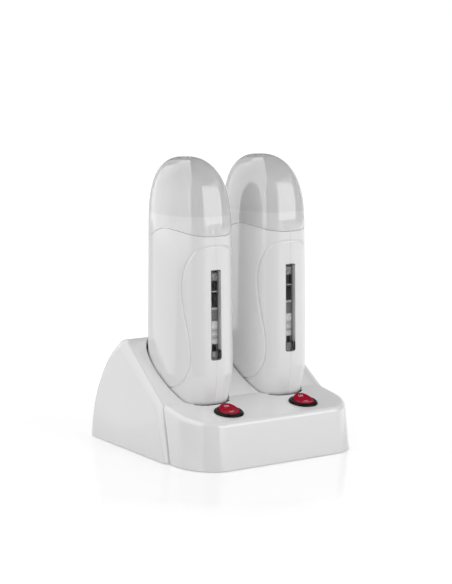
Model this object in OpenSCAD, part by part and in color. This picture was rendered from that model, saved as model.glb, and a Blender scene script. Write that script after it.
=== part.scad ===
/* [Base] */
// Overall width of the base
base_w = 158.6; // [152:0.2:180]
// Overall depth of the base
base_d = 163.2; // [158:0.2:185]
// Wall thickness of the base moulding
base_wall = 2.5; // [1.8:0.1:3.2]
// Gap between the lower edge of the base moulding and the table
skirt_gap = 0.6; // [0.4:0.1:0.9]
// Height of the deck at its front edge, before rounding
deck_front_h = 35; // [33:0.5:40]
// Length of the deck from its front edge to the foot of the slope
deck_len = 50.5; // [46:0.5:54]
// Tilt of the deck towards the user
deck_tilt = 8.8; // [7:0.1:11]
// Tilt of the slope behind the deck
slope_tilt = 34.6; // [32:0.1:38]
// Height of the ridge where slope and back arch meet, before rounding
ridge_h = 86; // [80:0.5:92]
// Depth from the rear edge to the centre of the back arch
arch_d = 91.6; // [86:0.2:100]
// How far the front wall of the deck leans inwards over its height
wall_draft = 5; // [3:0.1:6]
// How far the side walls of the deck lean inwards over their height
flank_draft = 2.5; // [1:0.1:5]
// How far the tall sides lean inwards up to the ridge
side_draft = 4; // [2:0.1:5]
// Depth of the step between the tall rear sides and the deck's sides
step_in = 2.8; // [1.5:0.1:4]
// Distance from the rear edge to the step at table level
groove_from_rear = 122.5; // [118:0.5:126]
// Width of the rounded front corners, seen from above
corner_w = 27; // [24:0.5:36]
// Depth of the rounded front corners, seen from above
corner_d = 34; // [30:0.5:44]
// Rounding of the edges of the tall rear sides
side_edge_r = 7; // [4:0.5:7.5]
// Rounding of the deck's front edge
deck_edge_r = 3.5; // [3:0.1:6]
// Rounding of the ridge
ridge_r = 8.5; // [8:0.5:10]

/* [Base fittings] */
// Thickness of the bottom plate
plate_t = 2.4; // [1.8:0.1:3.2]
// Height of the rubber feet, which sets the plate's height
foot_h = 1; // [0.9:0.1:1.5]
// Radius of a rubber foot
foot_pad_r = 6; // [5:0.5:8]
// Radius of the screw posts inside the base
post_r = 4.5; // [4:0.1:5.5]
// Depth of the screw wells in the bottom plate
well_screw_h = 6; // [5:0.1:8]
// Shank radius of the screws
screw_r = 1.3; // [1.1:0.05:1.6]
// Head radius of the screws
screw_head_r = 2.6; // [2.3:0.1:3]
// Head height of the screws
screw_head_h = 1.8; // [1.5:0.1:2.2]
// Clearance between the bottom plate's edge and the walls around it
plate_gap = 0.4; // [0.3:0.1:0.6]
// Distance of the front plate screws from the base's sides
front_post_in = 24; // [22:0.5:28]
// Distance of the rear plate screws from the base's sides
rear_post_in = 18; // [15:0.5:22]
// Distance of the plate screws from the front and rear edges
post_from_edge = 20; // [18:0.5:24]
// Length of a plate screw inside its post
post_screw_l = 10; // [8:0.5:12]
// Distance of the feet's centres from the base's edges
foot_in = 32; // [28:0.5:36]
// Radius of the bore for the mains cord
cord_bore_r = 3.6; // [3:0.1:4]
// Thickness of the rubber around the cord bore
bush_wall = 1.4; // [1:0.1:1.8]
// Outer lip of the cord bush, beyond its body
bush_lip = 2; // [1.5:0.1:2.5]
// Thickness of the bush's lip and of its inner flange
bush_lip_t = 1.6; // [1.2:0.1:2]
// Length of the bush between its lip and its inner flange
bush_grip_l = 3; // [2.6:0.1:4]
// Width of the plate's cord tab beside and above the bush
tab_rim = 3; // [2:0.1:5]
// Radius of the pillars that take the inner screws
pillar_r = 3.2; // [2.8:0.1:3.6]
// Distance between the two screws of the cord clamp
clamp_pitch = 20; // [18:0.5:24]
// Distance of the cord clamp from the bush
clamp_from_bush = 10; // [9:0.5:16]
// Thickness of the cord clamp
clamp_t = 2.5; // [2:0.1:3.5]
// Length of a clamp screw below the clamp
clamp_screw_l = 6; // [5:0.5:8]
// Distance of the terminal block from the cord clamp
block_from_clamp = 16; // [14:0.5:30]
// Depth of the terminal block
terminal_d = 14; // [12:0.5:16]
// Height of the terminal block
terminal_h = 14.5; // [12:0.5:18]
// Distance between the ways of the terminal block
way_pitch = 9; // [8:0.5:10]
// Radius of the screw shafts and wire ways in the terminal block
way_r = 1.8; // [1.5:0.1:2.2]

/* [Docks] */
// Width of a dock block
block_w = 26; // [22:0.5:28]
// Depth of a dock block
block_d = 18; // [14:0.5:20]
// Height of a dock block
block_h = 12.7; // [10:0.1:14]
// Distance between the two screws of a dock block
ear_pitch = 28; // [26:0.5:34]
// Thickness of the dock block's ears
ear_t = 2.4; // [2:0.1:3]
// Length of a dock block screw
ear_screw_l = 9; // [8:0.5:11]
// Length by which the pins stand out below the dock block
pin_tail = 2; // [1:0.5:4]

/* [Switches] */
// Radius of the black bezel of a rocker switch
bezel_r = 11.5; // [11:0.1:12.5]
// Height of the bezel above the deck
bezel_h = 2; // [1.5:0.1:2.5]
// Radius of the switch housing below the deck
housing_r = 9.9; // [9.5:0.1:10.2]
// Depth of the switch housing below the deck
housing_h = 14; // [13:0.5:16]
// Radius of the round opening in which the rocker sits
rocker_hole_r = 8.5; // [8:0.1:8.8]
// Radius of the ball-shaped rocker
rocker_r = 8.2; // [7.6:0.05:8.3]
// Full swing of the rocker from off to on
rocker_swing = 24; // [18:1:26]
// Depth of the rocker's axis below the bezel's top
pivot_sink = 1; // [0.5:0.1:1.5]
// Radius of the rocker's axle stubs
stub_r = 1.15; // [1:0.05:1.4]
// Thickness of the housing's floor
housing_t = 1.6; // [1.2:0.1:2]
// Height of the rocker's pressed face above its axis
rocker_top = 1.5; // [1.2:0.1:2]
// Radius of the plunger in the rocker
plunger_r = 1.4; // [1.2:0.05:1.6]
// Distance from the rocker's axis to the plunger's tip
plunger_l = 9.6; // [9.2:0.1:10]
// Wall of the rocker's stem around the plunger
stem_wall = 1.2; // [1:0.1:1.4]
// Thickness of the contact strip
seesaw_t = 0.8; // [0.6:0.1:1]
// Width of the contact strip and of the terminal blades
blade_w = 4.6; // [4:0.1:5]
// Thickness of a terminal blade
blade_t = 0.8; // [0.6:0.1:0.8]
// Distance between the terminal blades
blade_gap = 4.4; // [4:0.1:4.8]
// Length of the terminal blades below the housing
blade_l = 7; // [6:0.5:8]
// Running clearance of axles and of the plunger
run_gap = 0.05; // [0.03:0.01:0.08]
// Distance of the switch centre from the front edge of the deck
switch_from_edge = 20; // [17:0.5:22]

/* [Handpieces] */
// Distance between the two handpieces, centre to centre
hand_pitch = 69; // [64:0.5:72]
// Distance of the handpiece centre from the foot of the slope
hand_from_foot = 24.5; // [21:0.5:27]
// Greatest width of a handpiece
hand_w = 53.6; // [50:0.2:56]
// Greatest depth of a handpiece
hand_d = 77.2; // [74:0.2:80]
// Roundness of the handpiece section: 2 is an ellipse, more is squarer
hand_n = 2.6; // [2.3:0.05:3]
// Height of a grip from its bottom to the crest of the cap joint
grip_h = 136.8; // [130:0.5:145]
// Height of the widest place above the grip's bottom
belly_h = 25.8; // [20:0.5:32]
// Share by which the section narrows from there to the cap
top_taper = 0.04; // [0.02:0.005:0.06]
// Tuck of the wall between the widest place and the bottom
tuck = 4.6; // [3:0.1:6]
// Rounding of the grip's bottom edge
bottom_r = 3.6; // [2.5:0.1:5]
// Wall thickness of the grip halves
grip_wall = 2.2; // [1.6:0.1:2.6]
// Fall of the cap joint from its crest to the front
joint_fall_front = 5.9; // [3:0.1:8]
// Fall of the cap joint from its crest to the back
joint_fall_back = 18; // [12:0.5:22]
// Distance of the joint's crest in front of the handpiece centre
joint_crest = 9; // [5:0.5:12]
// Gap between a handpiece and the wall of its pocket
pocket_gap = 1; // [0.7:0.1:1.6]
// Depth of the pocket's floor below the deck in front of it
pocket_sink = 2.8; // [2:0.1:4]
// Width of the sight window
window_w = 9.3; // [8:0.1:11]
// Height of the sight window
window_h = 69; // [60:0.5:74]
// Height of the window's lower end above the grip's bottom
window_from = 37.4; // [34:0.5:42]
// Corner radius of the sight window
window_r = 1.6; // [1:0.1:2.5]
// Thickness of the two shelves inside the grip
shelf_t = 2; // [1.6:0.1:2.4]
// Height of the upper shelf above the grip's bottom
joint_from = 112; // [108:0.5:113]
// Depth of the window tray
window_deep = 4.2; // [3.8:0.1:4.6]
// Wall thickness of the window tray
window_wall = 0.8; // [0.6:0.1:1]
// Width of the flange that holds the window tray from behind
window_flange = 1.4; // [1:0.1:1.8]
// Radius of the screw bosses inside the grip
boss_r = 4.4; // [4:0.1:5]
// Distance between the two screw bosses
boss_pitch = 48; // [44:0.5:50]
// Height of the screw bosses above the grip's bottom
boss_from = 16.5; // [15:0.5:17.5]
// Distance from the parting plane to the seat of the screw heads
boss_seat_x = 9; // [7:0.5:12]
// Length of the shell screws beyond the parting plane
boss_screw_l = 8; // [6:0.5:10]

/* [Caps] */
// Height of the cap above the crest of its joint
cap_h = 53.2; // [48:0.5:60]
// Wall thickness of the cap
cap_wall = 1.8; // [1.4:0.1:2.2]
// Visible gap between cap and grip
cap_seam = 0.25; // [0.2:0.05:0.4]
// Height over which the cap keeps the grip's section, below the crest
dome_start = 8; // [5:0.5:12]
// Bluntness of the dome: more keeps the width further up
dome_p = 3.11; // [2.6:0.05:3.6]
// Roundness of the dome's crown
dome_q = 2.41; // [2.1:0.05:2.8]
// Backward lean of the dome's crown
crown_shift = 4.5; // [2:0.1:6]

/* [Cartridge well] */
// Space between the well's side and the grip's wall, at the top
well_side_gap = 3.2; // [3:0.1:4]
// Space between the well's front or back and the grip's wall, at the top
well_end_gap = 5.6; // [5:0.1:6.5]
// Wall thickness of the aluminium well
well_wall = 1.6; // [1.2:0.1:1.8]
// Height of the well's underside above the grip's bottom
well_from = 24; // [22:0.5:27]
// Rise of the collar above the crest of the cap joint
collar_rise = 9.5; // [7:0.5:12]
// Wall thickness of the collar
collar_wall = 2; // [1.5:0.1:2.2]
// Clearance between parts that are pushed into each other
fit_gap = 0.25; // [0.2:0.05:0.3]
// Thickness of the heater plate
heater_t = 2.2; // [1.8:0.1:2.3]
// Thickness of the thermostat
thermostat_t = 4; // [3.4:0.1:4.4]
// Distance by which the thermostat and the clip stand off what they touch
touch_gap = 0.1; // [0.05:0.05:0.2]
// Width of the flat heater pad on the well
pad_w = 28; // [24:0.5:30]
// Height of the heater pad above the grip's bottom
pad_from = 52; // [48:0.5:56]
// Height of the heater pad
pad_h = 45; // [40:0.5:50]
// Thickness of the spring clip
clip_t = 0.5; // [0.4:0.1:0.6]
// Width of the spring clip
clip_w = 15.4; // [12:0.2:18]
// Distance by which the clip reaches past the heater pad
clip_over = 2; // [1.5:0.1:3]
// Width of the thermostat
thermostat_w = 8; // [7:0.5:10]
// Height of the thermostat
thermostat_h = 20; // [16:0.5:24]
// Width of the sight channel between well and window
sight_w = 8.4; // [8:0.1:8.6]
// Wall of the sight channel
sight_wall = 1.2; // [1:0.1:1.6]

/* [Contacts] */
// Radius of a dock contact pin
pin_r = 2; // [1.7:0.05:2.2]
// Height of a contact pin above the pocket floor
pin_h = 9; // [7:0.5:10]
// Distance between the two contact pins of a dock
pin_pitch = 12; // [11:0.5:13]
// Clearance between a contact pin and its sleeve
pin_gap = 0.3; // [0.25:0.05:0.4]
// Wall thickness of a contact sleeve
sleeve_wall = 0.7; // [0.5:0.1:0.9]
// Width of the contact block in the grip's bottom
contact_w = 26; // [24:0.5:28]
// Depth of the contact block
contact_d = 18; // [14:0.5:20]
// Height of the contact block
contact_h = 13; // [12:0.5:14]
// Roof of the contact block above the sleeves
contact_roof = 1.5; // [1:0.1:2]
// Width and thickness of the flange around the contact block
contact_flange = 2.5; // [2:0.1:3]
// Radius of the holes for the leads in the contact block
lead_r = 1; // [0.8:0.1:1.2]

/* [Hidden] */
$fn = 64;

WHITE = [0.9, 0.9, 0.91];
CLEAR = [0.8, 0.81, 0.83, 0.6];
RED = [0.72, 0.02, 0.08];
BLACK = [0.06, 0.06, 0.07];
METAL = [0.75, 0.76, 0.78];
BRASS = [0.8, 0.65, 0.35];
STEEL = [0.55, 0.56, 0.58];
BROWN = [0.35, 0.2, 0.1];

// Lines of the base in its middle plane, as [y, z]
front_y = -base_d / 2;
deck_y = front_y + wall_draft;
slope_foot = [deck_y + deck_len, deck_front_h + deck_len * tan(deck_tilt)];
ridge = [slope_foot[0] + (ridge_h - slope_foot[1]) / tan(slope_tilt), ridge_h];
arch_y = base_d / 2 - arch_d;
arch_h = ridge_h / sqrt(1 - pow((ridge[0] - arch_y) / arch_d, 2));
arch_chord = 12;
deck_back = slope_foot[1] / 2;
edge_steps = [0, 22.5, 45, 67.5, 90];
arch_n = 8;
ridge_n = 5;

// Places that the parts share
hand_y = slope_foot[0] + hand_from_foot;
deck_by_hand = deck_z(hand_y - hand_d / 2);
pocket_z = deck_by_hand - pocket_sink;
seat_gap = 0.2;
grip_z = pocket_z + seat_gap;
crest_z = grip_z + grip_h;
belly_z = grip_z + belly_h;
cap_top = crest_z + cap_h;
dome_z = crest_z - dome_start;
collar_top = crest_z + collar_rise;
plate_z = foot_h;
plate_top = plate_z + plate_t;
post_z = plate_z + well_screw_h + fit_gap;
switch_y = deck_y + switch_from_edge;
ring_n = 48;
crown_pow = 2.64;
dome_widths = [0.98, 0.95, 0.9, 0.83, 0.74, 0.63, 0.5, 0.35, 0.2, 0.06];
low_steps = [0.35 * bottom_r, bottom_r, 0.35 * belly_h, 0.6 * belly_h, 0.8 * belly_h, belly_h];
window_z = grip_z + window_from;
low_shelf_z = grip_z + well_from - shelf_t - fit_gap;
high_shelf_z = grip_z + joint_from;
side_x = hand_pitch / 2;

// Fittings of the base
pilot_r = screw_r + run_gap;
screw_seat_z = plate_z + well_screw_h - screw_head_h + fit_gap;
bush_body_r = cord_bore_r + bush_wall;
bush_r = bush_body_r + bush_lip;
cord_z = plate_top + base_wall + bush_r + fit_gap;
bush_seat_y = arch_at(cord_z + bush_r, 0)[0] - bush_lip_t / 3;
bush_in_y = bush_seat_y - bush_grip_l;
tab_half = bush_r + tab_rim;
tab_top = cord_z + tab_half;
clamp_y = bush_in_y - clamp_from_bush;
clamp_z = cord_z + cord_bore_r;
clamp_seat = clamp_z + touch_gap;
block_y = clamp_y - block_from_clamp;
dock_top = pocket_z - base_wall - fit_gap;
dock_z = dock_top - block_h;
ear_w = block_d;

// Inner parts of the switches, from the deck at the middle of the switch
pivot_z = bezel_h - pivot_sink;
stub_x = rocker_hole_r + 0.6 * (housing_r - rocker_hole_r);
seesaw_z = pivot_z - plunger_l - fit_gap - seesaw_t / 2;
blade_places = [-blade_gap, 0, blade_gap];
strip_half = blade_gap + blade_t;
stem_z = -0.8 * plunger_l;
plunger_top = -0.4 * plunger_l;

// Inner parts of the handpieces
well_w = hand_w * grip_k(dome_z) - 2 * (grip_wall + well_side_gap + well_wall);
well_d = hand_d * grip_k(dome_z) - 2 * (grip_wall + well_end_gap + well_wall);
boss_z = grip_z + boss_from;
sleeve_r = pin_r + pin_gap + sleeve_wall;
window_lean = atan(hand_d / 2 * top_taper / (crest_z - belly_z));
pad_x = well_w / 2 + well_wall + touch_gap;
pad_z = grip_z + pad_from;
sight_y = window_deep + fit_gap - hand_d / 2 * grip_k(window_z + window_h);
// Cut-outs of the sight channel, as shares of the window's height
sight_slots = [[0.09, 0.168], [0.58, 0.746], [0.762, 0.868], [0.965, 0.983]];

function lerp(a, b, t) = a + (b - a) * t;
function unit(v) = v / norm(v);
function left_of(a, b) = let (d = unit(b - a)) [-d[1], d[0]];
function deck_z(y) = deck_front_h + (y - deck_y) * tan(deck_tilt);

// A corner of the middle line moved inwards by o, square to both of its lines
function inset(a, b, c, o) = let (p = left_of(a, b), q = left_of(b, c)) b - o * (p + q) / (1 + p * q);
function arc_centre(a, b, c, r) =
    let (u = unit(a - b), v = unit(c - b), half = acos(u * v) / 2) b + unit(u + v) * r / sin(half);
function angle_of(v) = atan2(v[1], v[0]);
function quarter(t) = 1 - sqrt(max(0, 1 - t * t));

// The back of the base: an elliptic arch that passes through the ridge
function arch_at(z, o) = [arch_y + (arch_d - o) * sqrt(1 - pow(z / (arch_h - o), 2)), z];
arch_pt = arch_at(ridge_h - arch_chord, 0);
ridge_m = arc_centre(slope_foot, ridge, arch_pt, ridge_r);
groove_foot = [base_d / 2 - groove_from_rear, 0];
function groove_y(z) = lerp(groove_foot[0], slope_foot[0], z / slope_foot[1]);

// Outline of the tall rear part seen from the side, at depth o inside it, from height z0 up
function tower_line(o, z0) =
    let (
        d = unit(slope_foot - groove_foot),
        p0 = groove_foot - o * left_of(groove_foot, slope_foot),
        from = angle_of(left_of(ridge, arch_pt)),
        to = angle_of(left_of(slope_foot, ridge))
    )
    concat(
        [p0 + d * (z0 - p0[1]) / d[1]],
        [for (i = [0:arch_n]) arch_at(lerp(z0, arch_pt[1] - o, i / arch_n), o)],
        [for (i = [0:ridge_n])
            let (a = lerp(from, to, i / ridge_n)) ridge_m + (ridge_r - o) * [cos(a), sin(a)]],
        [inset(groove_foot, slope_foot, ridge, o)]
    );

// Outline of the deck block at depth o inside its walls, at a share t of their height
function deck_line(o, t) =
    let (
        c = [base_w / 2 - step_in - corner_w, front_y + corner_d],
        r = [corner_w - o - flank_draft * t, corner_d - o - wall_draft * t],
        corner = [for (a = [270:15:360]) [c[0] + r[0] * cos(a), c[1] + r[1] * sin(a)]],
        right = concat(corner, [[c[0] + r[0], deck_back]])
    )
    concat([for (i = [len(right) - 1:-1:0]) [-right[i][0], right[i][1]]], right);

// A solid skinned over rings of points, each ring counter-clockwise from above
module skin(rings) {
    n = len(rings[0]);
    m = len(rings);
    polyhedron(
        points = [for (ring = rings) each ring],
        faces = concat(
            [for (i = [1:n - 2]) [0, i, i + 1]],
            [for (j = [0:m - 2]) for (i = [0:n - 1])
                let (a = j * n + i, b = j * n + (i + 1) % n) each [[a, a + n, b + n], [a, b + n, b]]],
            [for (i = [1:n - 2]) let (t = (m - 1) * n) [t, t + i + 1, t + i]]
        )
    );
}

// The deck block and the tall rear part, or their hollows when o is the wall thickness
module deck_form(o, z0) {
    r = max(deck_edge_r - o, 1);
    skin(concat(
        [[for (p = deck_line(o, z0 / deck_front_h)) [p[0], p[1], z0]]],
        [for (a = edge_steps) [for (p = deck_line(o + r * (1 - cos(a)), 1))
            [p[0], p[1], deck_z(p[1]) - o / cos(deck_tilt) - r * (1 - sin(a))]]]
    ));
}

module tower_form(o, z0) {
    r = side_edge_r - o;
    skin([for (s = [-1, 1], a = s < 0 ? edge_steps : [for (b = edge_steps) 90 - b])
        [for (p = tower_line(o + r * (1 - sin(a)), z0))
            [s * (base_w / 2 - o - r * (1 - cos(a)) - side_draft * p[1] / ridge_h), p[0], p[1]]]]);
}

// Outline of a handpiece section
function lobe(i, w, d) =
    let (a = (i + 0.5) * 360 / ring_n, c = cos(a), s = sin(a))
    [sign(c) * w / 2 * pow(abs(c), 2 / hand_n), sign(s) * d / 2 * pow(abs(s), 2 / hand_n)];
function outline(w, d) = [for (i = [0:ring_n - 1]) lobe(i, w, d)];
module lobe_prism(w, d, z0, z1) {
    translate([0, 0, z0]) linear_extrude(z1 - z0) polygon(outline(w, d));
}

// Inset of the grip's wall at height z, from the tuck below the belly and the bottom rounding
function grip_inset(z) =
    let (h = z - grip_z)
    (h < belly_h ? tuck * pow(1 - h / belly_h, 1.25) : 0)
        + (h < bottom_r ? bottom_r * quarter(1 - max(h, 0) / bottom_r) : 0);
function grip_k(z) = z < belly_z ? 1 : 1 - top_taper * (z - belly_z) / (crest_z - belly_z);
function grip_ring(z, o) =
    let (i = 2 * (grip_inset(z) + o), k = grip_k(z))
    [for (p = outline(hand_w * k - i, hand_d * k - i)) [p[0], p[1], z]];

// Height of the joint between grip and cap at depth y
function joint_z(y) =
    let (
        d = y + joint_crest,
        ahead = hand_d / 2 - joint_crest,
        behind = hand_d / 2 + joint_crest
    )
    crest_z - (d < 0 ? joint_fall_front * pow(-d / ahead, 1.6)
        : joint_fall_back * pow((1 - cos(180 * min(d / behind, 1))) / 2, 1.25));
function joint_ring(t, o, lift) =
    [for (p = grip_ring(dome_z, o)) [p[0], p[1], lerp(high_shelf_z, joint_z(p[1]) + lift, t)]];

// The grip's outer form, or its hollow when o is the wall thickness
module grip_form(o, lift = 0) {
    top = 1.2 * belly_h;
    skin(concat(
        [for (h = concat(0, low_steps, top)) grip_ring(grip_z + lerp(o, top, h / top), o)],
        [for (z = [lerp(belly_z, high_shelf_z, 0.5), high_shelf_z]) grip_ring(z, o)],
        [for (t = [0.5, 1]) joint_ring(t, o, lift)]
    ));
}

module at_hand(side) {
    translate([side * side_x, hand_y, 0]) children();
}

module at_switch(side) {
    translate([side * side_x, switch_y, deck_z(switch_y)]) rotate([deck_tilt, 0, 0]) children();
}

// The pocket that a handpiece stands in: its lower wall with a gap around it
module pocket_form(o) {
    floor_ring = grip_ring(grip_z + low_steps[0], -pocket_gap - o);
    top_ring = grip_ring(belly_z, -pocket_gap - o);
    skin(concat(
        [[for (p = floor_ring) [p[0], p[1], pocket_z - o]]],
        [for (i = [1:len(low_steps) - 1]) grip_ring(grip_z + low_steps[i], -pocket_gap - o)],
        [[for (p = top_ring) [p[0], p[1], ridge_h + base_wall]]]
    ));
}

// Base

post_places = [
    for (s = [-1, 1]) each [
        [s * (base_w / 2 - front_post_in), front_y + post_from_edge],
        [s * (base_w / 2 - rear_post_in), base_d / 2 - post_from_edge]
    ]
];

// A box between two corners
module bar(x0, x1, y0, y1, z0, z1) {
    translate([x0, y0, z0]) cube([x1 - x0, y1 - y0, z1 - z0]);
}

module rod(r, z0, z1) {
    translate([0, 0, z0]) cylinder(r = r, h = z1 - z0);
}

module rod_y(r, y0, y1) {
    translate([0, y1, 0]) rotate([90, 0, 0]) cylinder(r = r, h = y1 - y0);
}

module rod_x(r, x0, x1) {
    translate([x0, 0, 0]) rotate([0, 90, 0]) cylinder(r = r, h = x1 - x0);
}

// A pan-head screw pointing up, with its head's underside at the origin
module screw(length) {
    rod(screw_head_r, -screw_head_h, 0);
    rod(screw_r, -screw_head_h / 2, length);
}

module posts() {
    for (p = post_places) translate([p[0], p[1], 0]) rod(post_r, post_z, ridge_h);
}

module dock_pillars(r, z1) {
    for (side = [-1, 1], e = [-1, 1])
        at_hand(side) translate([0, e * ear_pitch / 2, 0]) rod(r, dock_z + ear_t + fit_gap, z1);
}

module base_shell() {
    color(WHITE) difference() {
        union() {
            deck_form(0, skirt_gap);
            tower_form(0, skirt_gap);
        }
        difference() {
            union() {
                deck_form(base_wall, skirt_gap - base_wall);
                tower_form(base_wall, skirt_gap - base_wall);
            }
            for (side = [-1, 1]) at_hand(side) pocket_form(base_wall);
            posts();
            dock_pillars(pillar_r, pocket_z);
        }
        for (side = [-1, 1]) {
            at_hand(side) pocket_form(0);
            at_switch(side) rod(housing_r + fit_gap, -housing_h, bezel_h);
            for (e = [-1, 1])
                at_hand(side) translate([e * pin_pitch / 2, 0, 0])
                    rod(pin_r + fit_gap, pocket_z - 2 * base_wall, pocket_z + base_wall);
        }
        bar(-tab_half - plate_gap, tab_half + plate_gap, clamp_y, base_d, 0, tab_top + plate_gap);
        for (p = post_places)
            translate([p[0], p[1], 0]) rod(pilot_r, plate_z, post_z + post_screw_l + pilot_r);
        dock_pillars(pilot_r, pocket_z - base_wall);
    }
}

// The closing plate. Its upright tab holds the cord bush and fills the notch in the shell's back
module base_plate() {
    o = base_wall + plate_gap;
    y0 = groove_y(plate_top) + o;
    color(WHITE) difference() {
        union() {
            translate([0, 0, plate_z]) linear_extrude(plate_t) {
                polygon(deck_line(o, plate_top / deck_front_h));
                translate([0, y0])
                    rounded_rect(base_w - 2 * o, arch_at(plate_top, o)[0] - y0, side_edge_r - base_wall);
            }
            for (p = post_places)
                translate([p[0], p[1], 0]) rod(post_r, plate_z, plate_z + well_screw_h);
            for (s = [-1, 1])
                translate([s * clamp_pitch / 2, clamp_y, 0]) rod(pillar_r, plate_z, clamp_z);
            bar(-cord_bore_r, cord_bore_r, clamp_y - pillar_r, clamp_y + pillar_r,
                plate_z, cord_z - cord_bore_r);
            bar(-tab_half, tab_half, bush_in_y, bush_seat_y, plate_z, tab_top);
        }
        translate([0, 0, cord_z]) rod_y(bush_body_r + touch_gap, clamp_y, base_d);
        for (p = post_places) translate([p[0], p[1], 0]) {
            rod(screw_head_r + fit_gap, 0, screw_seat_z);
            rod(screw_r + fit_gap, 0, 2 * post_z);
        }
        for (s = [-1, 1])
            translate([s * clamp_pitch / 2, clamp_y, 0]) rod(pilot_r, plate_top, 2 * clamp_z);
    }
}

module base_feet() {
    color(BLACK) for (x = [-1, 1], y = [-1, 1])
        translate([x * (base_w / 2 - foot_in), y * (base_d / 2 - foot_in), 0]) rod(foot_pad_r, 0, plate_z);
}

module base_screws() {
    color(STEEL) for (p = post_places)
        translate([p[0], p[1], screw_seat_z]) screw(post_z + post_screw_l - screw_seat_z);
}

module cord_bush() {
    color(BLACK) translate([0, 0, cord_z]) difference() {
        union() {
            rod_y(bush_r, bush_seat_y, bush_seat_y + bush_lip_t);
            rod_y(bush_body_r, bush_in_y - bush_lip_t, bush_seat_y + bush_lip_t / 2);
            rod_y(bush_body_r + bush_lip / 2, bush_in_y - bush_lip_t, bush_in_y - touch_gap);
        }
        rod_y(cord_bore_r, bush_in_y - 2 * bush_lip_t, base_d);
    }
}

module cord_clamp() {
    half = clamp_pitch / 2 + pillar_r;
    color(WHITE) difference() {
        bar(-half, half, clamp_y - pillar_r, clamp_y + pillar_r, clamp_seat, clamp_seat + clamp_t);
        for (s = [-1, 1])
            translate([s * clamp_pitch / 2, clamp_y, 0]) rod(screw_r + fit_gap, clamp_z, 2 * clamp_z);
    }
}

module terminal_block() {
    w = 3 * way_pitch;
    color(BLACK) difference() {
        bar(-w / 2, w / 2, block_y - terminal_d / 2, block_y + terminal_d / 2,
            plate_top + touch_gap, plate_top + terminal_h);
        for (i = [-1, 0, 1]) translate([i * way_pitch, block_y, plate_top + terminal_h * 0.4]) {
            rod_y(way_r, -terminal_d, terminal_d);
            rod(way_r, 0, terminal_h);
        }
    }
}

// Screws inside the base: under the dock blocks and through the cord clamp
module inner_screws() {
    color(STEEL) {
        for (side = [-1, 1], e = [-1, 1])
            at_hand(side) translate([0, e * ear_pitch / 2, dock_z]) screw(ear_screw_l);
        for (s = [-1, 1])
            translate([s * clamp_pitch / 2, clamp_y, clamp_seat + clamp_t])
                mirror([0, 0, 1]) screw(clamp_t + clamp_screw_l);
    }
}

// Switches, drawn level with the middle of the round opening at the origin

module switch_body(side) {
    rim = 0.75 * (bezel_r - rocker_hole_r);
    half = blade_w / 2 + touch_gap;
    color(BLACK) at_switch(side) difference() {
        union() {
            translate([0, 0, run_gap]) rotate_extrude() polygon(concat(
                [[rocker_hole_r, 0]],
                [for (a = [0:15:90]) [bezel_r - rim + rim * cos(a), bezel_h * sin(a)]],
                [[rocker_hole_r, bezel_h]]
            ));
            difference() {
                rod(housing_r, -housing_h, bezel_h / 2);
                rod(rocker_hole_r, housing_t - housing_h, bezel_h);
            }
        }
        translate([0, 0, pivot_z]) rod_x(stub_r + run_gap, -stub_x - fit_gap, stub_x + fit_gap);
        for (y = blade_places)
            bar(-half, half, y - blade_t / 2 - touch_gap, y + blade_t / 2 + touch_gap, -2 * housing_h, 0);
    }
}

module rocker(side) {
    color(RED) at_switch(side) translate([0, 0, pivot_z]) difference() {
        union() {
            difference() {
                sphere(r = rocker_r);
                bar(-rocker_r, rocker_r, -rocker_r, 0, rocker_top, 2 * rocker_r);
                translate([0, 0, rocker_top]) rotate([rocker_swing, 0, 0])
                    bar(-rocker_r, rocker_r, -rocker_r, 2 * rocker_r, 0, rocker_r);
                bar(-rocker_r, rocker_r, -rocker_r, rocker_r, -2 * rocker_r, -rocker_r * 0.6);
            }
            rotate([rocker_swing / 2, 0, 0]) rod(plunger_r + stem_wall, stem_z, 0);
            rod_x(stub_r, -stub_x, stub_x);
        }
        rotate([rocker_swing / 2, 0, 0]) rod(plunger_r + run_gap, 2 * stem_z, plunger_top + run_gap);
    }
}

module plunger(side) {
    color(WHITE) at_switch(side) translate([0, 0, pivot_z]) rotate([rocker_swing / 2, 0, 0]) {
        rod(plunger_r, -plunger_l + plunger_r, plunger_top);
        translate([0, 0, -plunger_l + plunger_r]) sphere(r = plunger_r);
    }
}

module seesaw(side) {
    color(BRASS) at_switch(side) translate([0, 0, seesaw_z]) rotate([-rocker_swing / 4, 0, 0])
        bar(-blade_w / 2, blade_w / 2, -strip_half, strip_half, -seesaw_t / 2, seesaw_t / 2);
}

// The middle blade carries the strip, the outer two stay clear of its tilt
module switch_terminals(side) {
    clear = (strip_half + seesaw_t) * tan(rocker_swing / 4);
    color(METAL) at_switch(side) for (y = blade_places)
        bar(-blade_w / 2, blade_w / 2, y - blade_t / 2, y + blade_t / 2,
            -housing_h - blade_l, seesaw_z - seesaw_t / 2 - touch_gap - (y == 0 ? 0 : clear));
}

module dock_block(side) {
    color(BLACK) at_hand(side) difference() {
        union() {
            bar(-block_w / 2, block_w / 2, -block_d / 2, block_d / 2, dock_z, dock_top);
            bar(-ear_w / 2, ear_w / 2, -ear_pitch / 2 - pillar_r, ear_pitch / 2 + pillar_r,
                dock_z, dock_z + ear_t);
        }
        for (e = [-1, 1]) {
            translate([e * pin_pitch / 2, 0, 0]) rod(pin_r + run_gap, 0, pocket_z);
            translate([0, e * ear_pitch / 2, 0]) rod(screw_r + fit_gap, 0, dock_z + 2 * ear_t);
        }
    }
}

module dock_pins(side) {
    color(BRASS) at_hand(side) for (e = [-1, 1]) translate([e * pin_pitch / 2, 0, 0]) {
        rod(pin_r, dock_z - pin_tail, pocket_z + pin_h - pin_r);
        translate([0, 0, pocket_z + pin_h - pin_r]) sphere(r = pin_r);
    }
}

// Handpieces, drawn round their own middle line

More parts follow.
